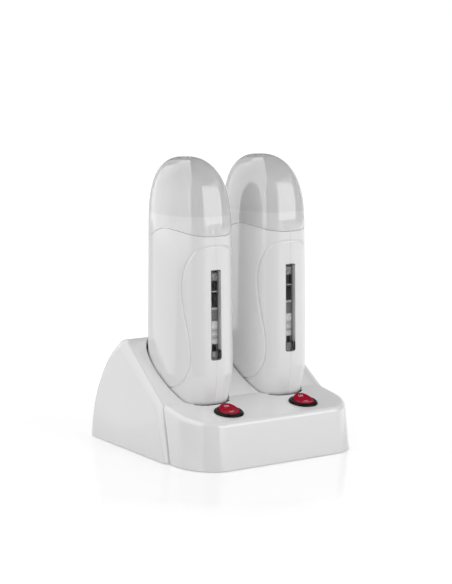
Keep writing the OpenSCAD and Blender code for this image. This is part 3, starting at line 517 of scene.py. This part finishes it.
ROCKER_HOLE_R, ROCKER_R, PIVOT_Z, ROCKER_TOP = 8.5, 8.2, 1.0, 1.5
ROCKER_SWING, ROCKER_FOOT, VALLEY_SOFT = math.radians(24), -0.6, 0.9
DISH, DISH_R, WING_SHARE, EDGE_ANGLE = 0.25, 7.5, 0.955, 0.055
LIP_R, CORNER_CUT, CUP_Z, BEZEL_FOOT, PRINT = 0.35, 0.4, -12.4, 0.05, 0.04

LOW_IOR = 1.15
black_gloss = moulded("black_gloss", (0.009, 0.008, 0.008), (0.014, 0.013, 0.013), 0.16, 0.04, 0.6, LOW_IOR)
red_gloss = moulded("red_gloss", (0.33, 0.003, 0.021), (0.38, 0.004, 0.027), 0.2, 0.05, 0.5, LOW_IOR)
marking = matt_moulded("marking", (0.84, 0.55, 0.6), (0.9, 0.62, 0.66), 0.5, 0.1)


def closed_revolve(profile, turns=96):
    """Points and faces of a closed profile carried round the Z axis."""
    rings = revolved(np.vstack([profile, profile[:1]]), turns)
    faces = grid_quads(len(rings), turns, True) % ((len(rings) - 1) * turns)
    return rings[:-1], faces.tolist()


def rocker_top(x, y):
    """Height of the rocker's top over its pivot: a plane in front and one 24 degrees steeper behind,
    with the valley between softened by a hyperbola, and each wing dished by a cosine and a sine."""
    rise = (y + np.sqrt(y * y + VALLEY_SOFT * VALLEY_SOFT)) / 2
    across = np.cos(np.clip(x / ROCKER_R, -1, 1) * math.pi / 2)
    along = np.sin(np.clip(np.abs(y) / DISH_R, 0, 1) * math.pi)
    return ROCKER_TOP - DISH + rise * math.tan(ROCKER_SWING) - DISH * across * along


def rocker_points():
    """The rocker round its pivot: rows from the middle of its top out to the edge, over a small
    round, and down a sphere to its foot."""
    turn = np.linspace(0, 2 * math.pi, 128, endpoint=False)
    dx, dy = np.cos(turn), np.sin(turn)
    reach = np.full(turn.shape, DISH_R)
    for _ in range(30):
        reach = np.sqrt(ROCKER_R ** 2 - rocker_top(reach * dx, reach * dy) ** 2)
    rows = []
    for share in np.r_[np.linspace(0.02, 0.9, 22), 0.93, WING_SHARE]:
        x, y = share * reach * dx, share * reach * dy
        rows.append(np.stack([x, y, rocker_top(x, y)], -1))
    wing_r, wing_z = reach * WING_SHARE, rows[-1][:, 2]
    edge = np.arcsin(rocker_top(reach * dx, reach * dy) / ROCKER_R)
    for step in np.radians([20, 45, 70, 90]):
        lift = edge - EDGE_ANGLE * math.sin(step)
        out = wing_r + (ROCKER_R * np.cos(lift) - wing_r) * math.sin(step)
        z = wing_z + (ROCKER_R * np.sin(lift) - wing_z) * (1 - math.cos(step))
        rows.append(np.stack([out * dx, out * dy, z], -1))
    top = edge - EDGE_ANGLE
    for share in np.linspace(0.1, 1, 12):
        lift = top + (math.asin(ROCKER_FOOT) - top) * share
        rows.append(ROCKER_R * np.stack([np.cos(lift) * dx, np.cos(lift) * dy, np.sin(lift)], -1))
    return np.stack(rows)


def printed_word(word, size, y):
    """Points and faces of a word printed on a wing of the rocker, centred at depth y."""
    curve = bpy.data.curves.new(word, "FONT")
    curve.body, curve.size, curve.align_x, curve.align_y = word, size, "CENTER", "CENTER"
    curve.extrude = PRINT
    curve.resolution_u = 4
    drawn = bpy.data.objects.new(word, curve)
    bpy.context.scene.collection.objects.link(drawn)
    graph = bpy.context.evaluated_depsgraph_get()
    mesh = bpy.data.meshes.new_from_object(drawn.evaluated_get(graph))
    points = np.zeros(len(mesh.vertices) * 3)
    mesh.vertices.foreach_get("co", points)
    faces = [list(face.vertices) for face in mesh.polygons]
    bpy.data.objects.remove(drawn)
    bpy.data.meshes.remove(mesh)
    px, py, pz = points.reshape(-1, 3).T
    py = py + y
    return np.stack([px, py, pz + rocker_top(px, py)], -1), faces


rim = 0.75 * (BEZEL_R - ROCKER_HOLE_R)
bow = np.radians(np.linspace(0, 90, 14))
bezel_z = BEZEL_FOOT + (BEZEL_H - BEZEL_FOOT) * np.sin(bow)
bezel = np.stack([BEZEL_R - rim + rim * np.cos(bow), bezel_z], -1)
lip = np.radians(np.linspace(90, 180, 6))
lip = np.stack([ROCKER_HOLE_R + LIP_R + LIP_R * np.cos(lip), BEZEL_H - LIP_R + LIP_R * np.sin(lip)], -1)
housing_profile = np.vstack([
    [[0.01, -HOUSING_H], [HOUSING_R - CORNER_CUT, -HOUSING_H],
     [HOUSING_R, -HOUSING_H + CORNER_CUT], [HOUSING_R, BEZEL_FOOT]],
    bezel, lip, [[ROCKER_HOLE_R, CUP_Z + 0.5], [ROCKER_HOLE_R - 0.5, CUP_Z], [0.01, CUP_Z]]])
for name, side in SIDES:
    points, faces = closed_revolve(housing_profile)
    housing = piece(f"switch_housing_{name}", on_deck(points, side), faces, "base", black_gloss, 40)
    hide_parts(f"switch_body_{name}")

    points = rocker_points()
    faces = ring_faces(*points.shape[:2])
    points = on_deck(points + [0, 0, PIVOT_Z], side)
    rocker = piece(f"rocker_cap_{name}", points, faces, f"rocker_{name}", red_gloss, 50)
    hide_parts(f"rocker_{name}")

    for word, size, y in (("ON", 2.7, 3.9), ("OFF", 2.5, -3.7)):
        points, faces = printed_word(word, size, y)
        points = on_deck(points + [0, 0, PIVOT_Z], side)
        mark = piece(f"mark_{word.lower()}_{name}", points, faces, f"rocker_{name}", marking)

nylon = matt_moulded("nylon", (0.8, 0.78, 0.72), (0.86, 0.84, 0.8), 0.4, 0.15)
dress(nylon, *both("plunger"))


# ---- Handpiece shells -----------------------------------------------------------------------
# Each handpiece is two glossy ABS shells that meet in a seam down the front and back. A fine
# S-shaped groove runs from the front under the cap, down each side and round to the back.

GRIP_WALL, WINDOW_W, WINDOW_H, WINDOW_R = 2.2, 9.3, 69.0, 1.6
WINDOW_Z = GRIP_Z + 37.4
JOINT_FALL_FRONT, JOINT_FALL_BACK, JOINT_CREST = 5.9, 18.0, 9.0
JOINT_POWER_FRONT, JOINT_POWER_BACK = 1.6, 1.25
OPENING_W, OPENING_D, SEAM_X, WINDOW_ROUND, SEAM_ROUND = 26.5, 18.5, 0.02, 0.42, 0.22
RIM_R, RIM_FROM, RIM_TO = 0.35, 148, 164
GROOVE_W, GROOVE_DEPTH = 1.8, 0.85
GROOVE_LINE = np.array([
    (-38.6, 162.6), (-37.6, 162.5), (-36.6, 162.1), (-34.7, 160.8), (-32.1, 157.7), (-28.9, 152.3),
    (-26.6, 146.8), (-25.1, 140.7), (-24.3, 133.0), (-24.5, 125.4), (-25.5, 117.9), (-26.7, 110.4),
    (-28.2, 102.9), (-29.6, 95.3), (-30.7, 87.7), (-31.2, 80.1), (-30.9, 72.4), (-29.3, 66.1),
    (-26.3, 60.4), (-21.9, 56.0), (-15.5, 53.2), (-9.2, 51.9), (0.0, 51.5), (12.0, 52.2),
    (24.0, 53.6), (32.0, 54.6), (38.6, 55.2)])


def joint_z(y):
    """Height of the joint with the cap at depth y: from its crest it falls towards the front as a
    power and towards the back as a power of a cosine."""
    d = y + JOINT_CREST
    ahead, behind = HAND_D / 2 - JOINT_CREST, HAND_D / 2 + JOINT_CREST
    front = JOINT_FALL_FRONT * np.clip(-d / ahead, 0, None) ** JOINT_POWER_FRONT
    wave = (1 - np.cos(math.pi * np.clip(d / behind, 0, 1))) / 2
    back = JOINT_FALL_BACK * wave ** JOINT_POWER_BACK
    return CREST_Z - np.where(d < 0, front, back)


def smooth_path(points, step):
    """The points joined by a Catmull-Rom curve, at about equal steps along it."""
    ends = np.vstack([2 * points[0] - points[1], points, 2 * points[-1] - points[-2]])
    a, b, c, d = (ends[i:len(ends) - 3 + i, None] for i in range(4))
    t = np.linspace(0, 1, 24, endpoint=False)[None, :, None]
    square, cube = (2 * a - 5 * b + 4 * c - d) * t ** 2, (3 * b - a - 3 * c + d) * t ** 3
    fine = 0.5 * (2 * b + (c - a) * t + square + cube)
    fine = np.vstack([fine.reshape(-1, 2), points[-1:]])
    run = np.r_[0, np.cumsum(np.hypot(*np.diff(fine, axis=0).T))]
    at = np.arange(0, run[-1], step)
    return np.stack([np.interp(at, run, fine[:, i]) for i in range(2)], -1)


def groove_on_wall():
    """The S-shaped groove as lengths from the front seam and heights."""
    share = np.clip(2 * GROOVE_LINE[:, 0] / (HAND_D * grip_k(GROOVE_LINE[:, 1])), -1, 1)
    length = np.interp(share, ARC_Y, ARC)
    length[0], length[-1] = -2.0, HALF_ROUND + 2
    return smooth_path(np.column_stack([length, GROOVE_LINE[:, 1]]), 0.3)


GROOVE = groove_on_wall()


def distance_to_groove(length, z):
    """Shortest distance from each point of the wall to the groove, in its unrolled plane."""
    flat = np.column_stack([length.ravel(), z.ravel()])
    shortest = np.full(len(flat), 99.0)
    for part in np.array_split(GROOVE, 24):
        near = np.abs(flat[:, 1] - part[:, 1].mean()) < 20
        gap = flat[near][:, None] - part[None]
        shortest[near] = np.minimum(shortest[near], np.sqrt((gap ** 2).sum(-1)).min(1))
    return shortest.reshape(length.shape)


def shell_rows():
    """Heights of the rows of points up the wall, close together at the foot, round the window's ends
    and where the groove runs level."""
    low = GRIP_Z + BOTTOM_R * (1 - np.cos(np.radians(np.linspace(0, 90, 11))))
    bands = [(low[-1], 50, 12), (50, 57, 26), (57, 74.3, 30), (74.3, 78.3, 16), (78.3, 141.6, 88),
             (141.6, 145.4, 16), (145.4, 157, 18), (157, RIM_TO, 24)]
    return np.r_[low, np.concatenate([np.linspace(a, b, n + 1)[1:] for a, b, n in bands])]


def smooth_step(share):
    """A share from 0 to 1 that starts and ends gently, as a cubic."""
    return share * share * (3 - 2 * share)


def shell_half():
    """The right-hand shell as a grid: rows run from the edge of the contact's opening out over the
    bottom, up the wall, over the rim and back down the inside; columns run from the front seam, or
    the window's edge, round the side to the back seam."""
    near = np.array([0, 0.07, 0.16, 0.28, 0.42, 0.6, 0.9])
    heights = shell_rows()
    low_first = GROOVE[np.argsort(GROOVE[:, 1])]
    groove_at = np.interp(np.clip(heights, 58, 158.5), low_first[:, 1], low_first[:, 0])
    from_end = WINDOW_H / 2 - np.abs(heights - WINDOW_Z - WINDOW_H / 2)
    inside = np.clip(from_end / WINDOW_R, 0, 1)
    corner = WINDOW_W / 2 - WINDOW_R + WINDOW_R * np.sqrt(1 - (1 - inside) ** 2)
    edge = np.where(inside > 0, corner, 0.0)
    cluster = np.array([-1.0, -0.7, -0.5, -0.34, -0.2, -0.08, 0.08, 0.2, 0.34, 0.5, 0.7, 1.0])
    columns = []
    for start, middle in zip(edge, groove_at):
        first = start + near
        left = np.linspace(first[-1], middle + cluster[0], 24)[1:-1]
        right = np.linspace(middle + cluster[-1], HALF_ROUND - near[-1], 58)[1:-1]
        columns.append(np.r_[first, left, middle + cluster, right, HALF_ROUND - near[::-1]])
    length = np.stack(columns)
    z = np.repeat(heights[:, None], length.shape[1], 1)

    x, y = around(length, z, 0)
    stretch = smooth_step(np.clip((z - RIM_FROM) / (RIM_TO - RIM_FROM), 0, 1))
    z = z + (joint_z(y) - RIM_TO - RIM_R) * stretch
    x, y = around(length, z, 0)
    across = np.stack([np.gradient(x, axis=1), np.gradient(y, axis=1)], -1)
    outward = np.stack([across[..., 1], -across[..., 0]], -1)
    outward /= np.maximum(np.linalg.norm(outward, axis=-1, keepdims=True), 1e-9)

    groove = np.clip(1 - distance_to_groove(length, z) / (GROOVE_W / 2), 0, 1)
    depth = GROOVE_DEPTH * smooth_step(groove)
    soft = np.where(inside > 0, WINDOW_ROUND, SEAM_ROUND)[:, None]
    for gap in (length - edge[:, None], HALF_ROUND - length):
        corner = np.clip(1 - gap / soft, 0, 1)
        depth = np.maximum(depth, soft * (1 - np.sqrt(np.maximum(0, 1 - corner ** 2))))
    outer = np.stack([x - outward[..., 0] * depth, y - outward[..., 1] * depth, z], -1)
    outer[:, 0, 0] = np.where(inside > 0, outer[:, 0, 0], SEAM_X)

    ix, iy = around(length, z, GRIP_WALL)
    inner = np.stack([ix, iy, np.maximum(z, GRIP_Z + GRIP_WALL)], -1)
    inner[:, 0, 0] = outer[:, 0, 0]
    outer[:, -1, 0] = inner[:, -1, 0] = SEAM_X

    half_w, half_d = OPENING_W / 2, OPENING_D / 2
    walk = np.linspace(0, 1, length.shape[1]) * (OPENING_W + OPENING_D)
    hole_x = np.clip(np.minimum(walk, OPENING_W + OPENING_D - walk), SEAM_X, half_w)
    hole_y = np.clip(walk - half_w - half_d, -half_d, half_d)
    hole = np.stack([hole_x, hole_y, np.full(walk.shape, GRIP_Z)], -1)
    floor = [hole + (outer[0] - hole) * share for share in (0, 0.04, 0.5, 0.9)]
    hole = hole + [0, 0, GRIP_WALL]
    ceiling = [hole + (inner[0] - hole) * share for share in (0.9, 0.5, 0.04, 0)]
    rim = []
    for step in np.radians([30, 60, 90]):
        row = outer[-1] + (inner[-1] - outer[-1]) * RIM_R * (1 - math.cos(step)) / GRIP_WALL
        row[:, 2] = outer[-1, :, 2] + RIM_R * math.sin(step)
        rim.append(row)
    turned = inner[-1] + (outer[-1] - inner[-1]) * 0.1
    turned[:, 2] = rim[-1][:, 2]
    out_rows = floor + list(outer) + rim
    in_rows = [turned, inner[-1], inner[-1] - [0, 0, 0.05]] + list(inner[::-1]) + ceiling
    return np.stack(out_rows + in_rows)


def half_faces(rows, columns):
    """Quads over the grid, round from its last row to its first, and across both seams between each
    outer row and its inner row."""
    faces = grid_quads(rows, columns, False)
    last, first = np.arange(columns - 1) + (rows - 1) * columns, np.arange(columns - 1)
    round_end = np.stack([last, last + 1, first + 1, first], -1)
    i = np.arange(rows // 2 - 1)
    ends = (i, i + 1, rows - 2 - i, rows - 1 - i)
    seams = [np.stack([row * columns + c for row in ends], -1) for c in (0, columns - 1)]
    return np.vstack([faces, round_end, *seams]).tolist()


half = shell_half()
faces = half_faces(*half.shape[:2])
for name, side in SIDES:
    for kind, way in (("plain_half", -1), ("screwed_half", 1)):
        placed = half * [way, 1, 1] + [side * SIDE_X, HAND_Y, 0]
        shell = piece(f"shell_{kind}_{name}", placed, faces, f"handpiece_{name}", white_gloss, 45)
        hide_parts(f"{kind}_{name}")


# ---- Collars and caps -----------------------------------------------------------------------
# A white collar in each handpiece's mouth centres the cartridge and holds the cap, which is one
# domed shell of smoke-tinted translucent plastic, 1.8 mm thick, pushed over the collar.

CAP_H, CAP_WALL, CAP_SEAM, CAP_RIM_R, DOME_START = 53.2, 1.8, 0.25, 0.3, 8.0
DOME_P, DOME_Q, CROWN_SHIFT, CROWN_POW = 3.0, 2.35, 4.5, 2.64
CAP_TOP = CREST_Z + CAP_H - 0.03
COLLAR_TOP = CREST_Z + 9.5
DOME_Z = CREST_Z - DOME_START


def cap_material():
    """Milky plastic that lets some light through, looks grey and keeps a full gloss; its colour carries
    painted light, paler up to the collar's top, where the collar stands behind it, and painted shade,
    darker towards the crown."""
    material, place, (x, y, z) = bare_material("cap_plastic")
    drift = noise(place, 0.04, 2.0)
    height = (z - DOME_Z + 0.8 * drift) * (1 / (CAP_TOP - DOME_Z))
    collar = (COLLAR_TOP - DOME_Z) / (CAP_TOP - DOME_Z)
    # Painted light and shade: paler where the collar stands behind the cap, darker towards the crown.
    painted_light_and_shade = place.node("ValToRGB", {"stops": [
        (0.0, 0.985), (collar, 0.985), (collar + 0.02, 0.9), (0.6, 0.88), (1.0, 0.74)]}, {"Fac": height})
    surface = place.node("BsdfPrincipled", {}, {
        "Base Color": painted_light_and_shade, "Roughness": 0.008 + 0.01 * drift, "IOR": 1.6, "Transmission Weight": 0.4})
    return close_material(material, surface)


cap_plastic = cap_material()
collar_white = matt_moulded("collar_white", (0.9, 0.9, 0.9), (0.94, 0.94, 0.94), 0.35, 0.1)
dress(collar_white, *both("collar"))


def cap_grid(into):
    """Rings of the cap at a depth inside it: up from the joint, then over the dome, whose width
    shrinks as a superellipse of its height while the crown moves back as a power of it."""
    length = np.linspace(0, HALF_ROUND, 97)
    k0 = grip_k(DOME_Z)
    cx, cy = np.interp(length, ARC, ARC_X), np.interp(length, ARC, ARC_Y)
    cx, cy = np.r_[cx, -cx[-2:0:-1]], np.r_[cy, cy[-2:0:-1]]
    flat_x, flat_y = cx * (HAND_W * k0 / 2 - into), cy * (HAND_D * k0 / 2 - into)
    foot = joint_z(flat_y) + CAP_SEAM
    rows = [foot + (CREST_Z + DOME_START / 2 - foot) * share for share in np.linspace(0, 1, 24)]
    dome_h = CAP_TOP - into - DOME_Z
    for k in np.cos(np.radians(np.linspace(12, 88.5, 70))):
        rows.append(np.full(flat_x.shape, DOME_Z + dome_h * (1 - k ** DOME_Q) ** (1 / DOME_P)))
    z = np.stack(rows)
    above = np.clip((z - DOME_Z) / dome_h, 0, 1)
    k = np.where(z < DOME_Z, grip_k(z) / k0, (1 - above ** DOME_P) ** (1 / DOME_Q))
    shift = CROWN_SHIFT * np.clip((z - DOME_Z) / (CAP_TOP - DOME_Z), 0, 1) ** CROWN_POW
    return np.stack([flat_x * k, flat_y * k + shift, z], -1)


def cap_surface():
    """The cap's outer rings from the crown down to its rim, over a small round, and the inner rings
    back up to the crown."""
    outer, inner = cap_grid(0), cap_grid(CAP_WALL)
    outer[0, :, 2] += CAP_RIM_R
    inner[0, :, 2] = outer[0, :, 2]
    down, up = [], []
    for step in np.radians([30, 60, 90]):
        row = outer[0] + (inner[0] - outer[0]) * CAP_RIM_R * (1 - math.cos(step)) / CAP_WALL
        twin = outer[0] + inner[0] - row
        row[:, 2] = twin[:, 2] = outer[0, :, 2] - CAP_RIM_R * math.sin(step)
        down.append(row)
        up.insert(0, twin)
    return np.vstack([outer[::-1], down, up, inner])


for name, side in SIDES:
    points = cap_surface() + [side * SIDE_X, HAND_Y, 0]
    dome = piece(f"dome_{name}", points, ring_faces(*points.shape[:2]), f"cap_{name}", cap_plastic, 60)
    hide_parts(f"cap_{name}")


# ---- Windows and wells ----------------------------------------------------------------------
# Behind a clear polycarbonate window in the front seam, the drawn aluminium well shows its sight
# channel, a grey ribbed strip; the dark of the well seen through its cut-outs is painted shade.

EDGE_W, EDGE_DARK_TO, SIGHT_FROM, SPECKLED_FROM = 0.3, 7.0, 31.0, 40.0


def window_material():
    """Clear polycarbonate, slightly grey, whose side faces lie against the pale edge of the opening
    and are dark at its foot."""
    material, place, (x, y, z) = bare_material("window_plastic")
    clear = place.node("BsdfPrincipled", {}, {
        "Base Color": shade_between((0.88, 0.885, 0.89), (0.92, 0.92, 0.92), noise(place, 0.1, 2.0)),
        "Roughness": 0.02, "IOR": 1.2, "Transmission Weight": 1.0})
    off_seam = (x.maths("ABSOLUTE") - SIDE_X).maths("ABSOLUTE")
    up = ((z - WINDOW_Z - EDGE_DARK_TO) * 0.8).clamped()
    edge = place.node("BsdfPrincipled", {}, {
        "Base Color": shade_between((0.03, 0.03, 0.03), (0.9, 0.9, 0.9), up), "Roughness": 0.4})
    on_edge = off_seam > WINDOW_W / 2 - EDGE_W
    return close_material(material, place.node("MixShader", {}, {0: on_edge, 1: clear, 2: edge}))


def well_material():
    """Drawn aluminium, with the sight strip's bands by height: black bands painted as the shade in its
    openings, grey ribs and a speckled top, where the noise lightens and darkens the bands."""
    material, place, (x, y, z) = bare_material("well_metal")
    speckle = (noise(place, 0.9, 5.0, Roughness=0.7) - 0.5) * 7.0
    lines = drawn_lines(place, (2.0, 2.0, 0.1), 1.2, 4.0)
    # Painted shade: the black bands stand for the dark of the well seen through the strip's openings.
    bands = place.node("ValToRGB", {"stops": [
        (0.0, 0.7), (0.012, 0.4), (0.084, 0.3), (0.09, 0.03), (0.11, 0.05), (0.165, 0.18),
        (0.175, 0.8), (0.21, 0.8), (0.24, 0.4), (0.275, 0.8), (0.323, 0.45), (0.36, 0.9),
        (0.42, 0.8), (0.428, 0.16), (0.548, 0.18), (0.558, 0.6), (0.567, 0.6), (0.58, 0.025),
        (0.745, 0.03), (0.75, 0.5), (0.757, 0.5), (0.762, 0.003), (0.867, 0.004), (0.877, 0.3),
        (0.955, 0.35), (0.966, 0.003), (0.983, 0.003), (0.988, 0.6)]},
        {"Fac": (z - WINDOW_Z) * (1 / WINDOW_H)})
    contrast = 0.25 + 0.75 * (z > WINDOW_Z + SPECKLED_FROM)
    shade = bands * (1.0 + contrast * speckle.maths("MAXIMUM", -0.9))
    sight = y < HAND_Y - SIGHT_FROM
    surface = place.node("BsdfPrincipled", {}, {
        "Base Color": shade_between((0.66, 0.67, 0.69), shade, sight), "Metallic": 1.0 - sight,
        "Roughness": 0.3 + 0.15 * lines, "Normal": bumped(lines, 0.1)})
    return close_material(material, surface)


dress(window_material(), *both("window"))
dress(well_material(), *both("well"))


# ---- Studio ---------------------------------------------------------------------------------
# A white floor in an evenly lit white surround, with one soft strip lamp. Bright and dark cards
# round the object show only in its gloss: a large one at the left, a tall one at the front right.

FLOOR_GLOSSY_TO, FLOOR_FADE, CARD_Z, SKY_LIGHT = 180.0, 120.0, 2.2, 0.76


def glowing(name, shade, one_sided=False):
    """Even glow of a card. One on the floor glows upwards only, so that it doesn't show in the floor."""
    material, place, axes = bare_material(name)
    glow = place.node("Emission", {}, {"Color": (shade, shade, shade, 1)})
    if one_sided:
        behind = place.node("NewGeometry", output="Backfacing")
        glow = place.node("MixShader", {}, {0: behind, 1: glow, 2: place.node("BsdfTransparent")})
    return close_material(material, glow)


def seen_directly(wire):
    """1 for rays from the camera, reflected rays and rays through clear pieces, 0 for the light that
    falls on things."""
    kinds = ("Is Camera Ray", "Is Glossy Ray", "Is Transmission Ray")
    return sum(wire.node("LightPath", output=kind) for kind in kinds).clamped()


def white_floor():
    """White floor that glows, to the camera and in reflections, up to pure white, and keeps a faint
    shadow. Near the object it mirrors it; from there its gloss fades with the distance."""
    material, place, (x, y, z) = bare_material("floor_white")
    square = x * x + y * y
    away = ((square.maths("SQRT") - FLOOR_GLOSSY_TO) * (1 / FLOOR_FADE)).clamped()
    camera = place.node("LightPath", output="Is Camera Ray")
    cloth = place.node("BsdfPrincipled", {}, {
        "Base Color": (0.8, 0.8, 0.8, 1), "Roughness": 0.12 + 0.7 * away, "IOR": 1.3})
    glow = place.node("Emission", {}, {
        "Color": shade_between((0.3, 0.3, 0.3), (0.5, 0.5, 0.5), camera * away)})
    lit = place.node("AddShader", {}, {0: cloth, 1: glow})
    surface = place.node("MixShader", {}, {0: seen_directly(place), 1: cloth, 2: lit})
    return close_material(material, surface)


def staged(name, corners, material):
    """A flat four-cornered sheet in metres that isn't part of the object."""
    mesh = bpy.data.meshes.new(name)
    mesh.from_pydata(corners, [], [(0, 1, 2, 3)])
    mesh.materials.append(material)
    sheet = bpy.data.objects.new(name, mesh)
    bpy.context.scene.collection.objects.link(sheet)
    return sheet


def at(azimuth, elevation, reach=2.5):
    """A point, in metres, at a reach from the object, an azimuth from its front, positive to its
    right, and an elevation."""
    a, e = math.radians(azimuth), math.radians(elevation)
    return (reach * math.cos(e) * math.sin(a), -reach * math.cos(e) * math.cos(a), reach * math.sin(e))


def card(name, corners, material):
    """A card seen only in reflections; it gives no light and throws no shadow."""
    sheet = staged(name, corners, material)
    sheet.visible_camera = sheet.visible_diffuse = sheet.visible_transmission = sheet.visible_shadow = False


staged("floor", [(-6, -6, 0), (6, -6, 0), (6, 6, 0), (-6, 6, 0)], white_floor())
bright, dark = glowing("card_bright", 2.6), glowing("card_dark", 0.1)
card("card_left", [at(-60, 2.5, 1.5), at(-170, 2.5, 1.5), at(-170, 42), at(-60, 42)], bright)
card("card_above", [(-2.17, -1.25, CARD_Z), (-0.97, -0.82, CARD_Z), (1.3, 1.87, CARD_Z),
                    (-1.25, 2.6, CARD_Z)], bright)
card("card_right", [at(-4, 4), at(48, 4), at(60, 32), at(6, 50)], glowing("card_brighter", 3.4))
card("sheet_left", [at(-162.6, 0.1), at(-140, 0.1), at(-110, 0.1), at(-130, 0.1, 0.15)],
     glowing("card_pale", 1.8, one_sided=True))
card("sheet_right", [at(40, 0.1, 0.3), at(40, 0.1), at(110, 0.1), at(110, 0.1, 0.3)],
     glowing("card_light", 1.5, one_sided=True))
card("flag_middle", [at(-60, 0.3), at(-4, 0.3), at(6, 50), at(-60, 42)], dark)
card("flag_floor", [at(-60, 0.1), at(-4, 0.1), at(-4, 0.1, 0.3), at(-60, 0.1, 0.3)],
     glowing("card_grey", 0.25, one_sided=True))
card("flag_right", [at(48, 0.3), at(100, 0.3), at(110, 40), at(60, 32)], dark)
card("flag_above", [(-0.97, -0.82, CARD_Z), (1.3, 1.87, CARD_Z), (3, 0, CARD_Z), (0.6, -2.4, CARD_Z)],
     dark)
card("flag_behind", [at(100, 19), at(172, 19), at(165, 50), at(110, 45)], dark)

world = bpy.data.worlds.new("surround")
bpy.context.scene.world = world
world.use_nodes = True
world.node_tree.nodes.clear()
sky = Wire(world.node_tree)
strength = SKY_LIGHT + (1 - SKY_LIGHT) * seen_directly(sky)
background = sky.node("Background", {}, {"Color": (1, 1, 1, 1), "Strength": strength})
surround = world.node_tree.nodes.new("ShaderNodeOutputWorld")
world.node_tree.links.new(background.socket, surround.inputs["Surface"])

lamp = bpy.data.lights.new("strip", "AREA")
lamp.shape, lamp.size, lamp.size_y, lamp.energy = "RECTANGLE", 0.35, 1.1, 3.0
stand = bpy.data.objects.new("strip", lamp)
stand.location = (0.3, -1.45, 0.55)
stand.rotation_euler = (Vector((0, 0, 0.12)) - stand.location).to_track_quat("-Z", "Y").to_euler()
stand.visible_glossy = False
bpy.context.scene.collection.objects.link(stand)


# ---- Camera ---------------------------------------------------------------------------------
# It stands 1.3 m away, a little above the object and 33 degrees round to the left of its front,
# with a long lens, as the photo's weak perspective asks for. The focal length is in pixels.

FOCAL_PX, PICTURE_H_PX = 1633, 584

lens = bpy.data.cameras.new("camera")
lens.sensor_width, lens.lens = 36.0, FOCAL_PX / PICTURE_H_PX * 36
lens.clip_start, lens.clip_end = 0.05, 30
camera = bpy.data.objects.new("camera", lens)
camera.location = (-0.69892, -1.06024, 0.30314)
camera.rotation_euler = Vector((0.5449, 0.8263, -0.1426)).to_track_quat("-Z", "Y").to_euler()
bpy.context.scene.collection.objects.link(camera)
bpy.context.scene.camera = camera
bpy.context.scene.view_settings.view_transform = "Standard"
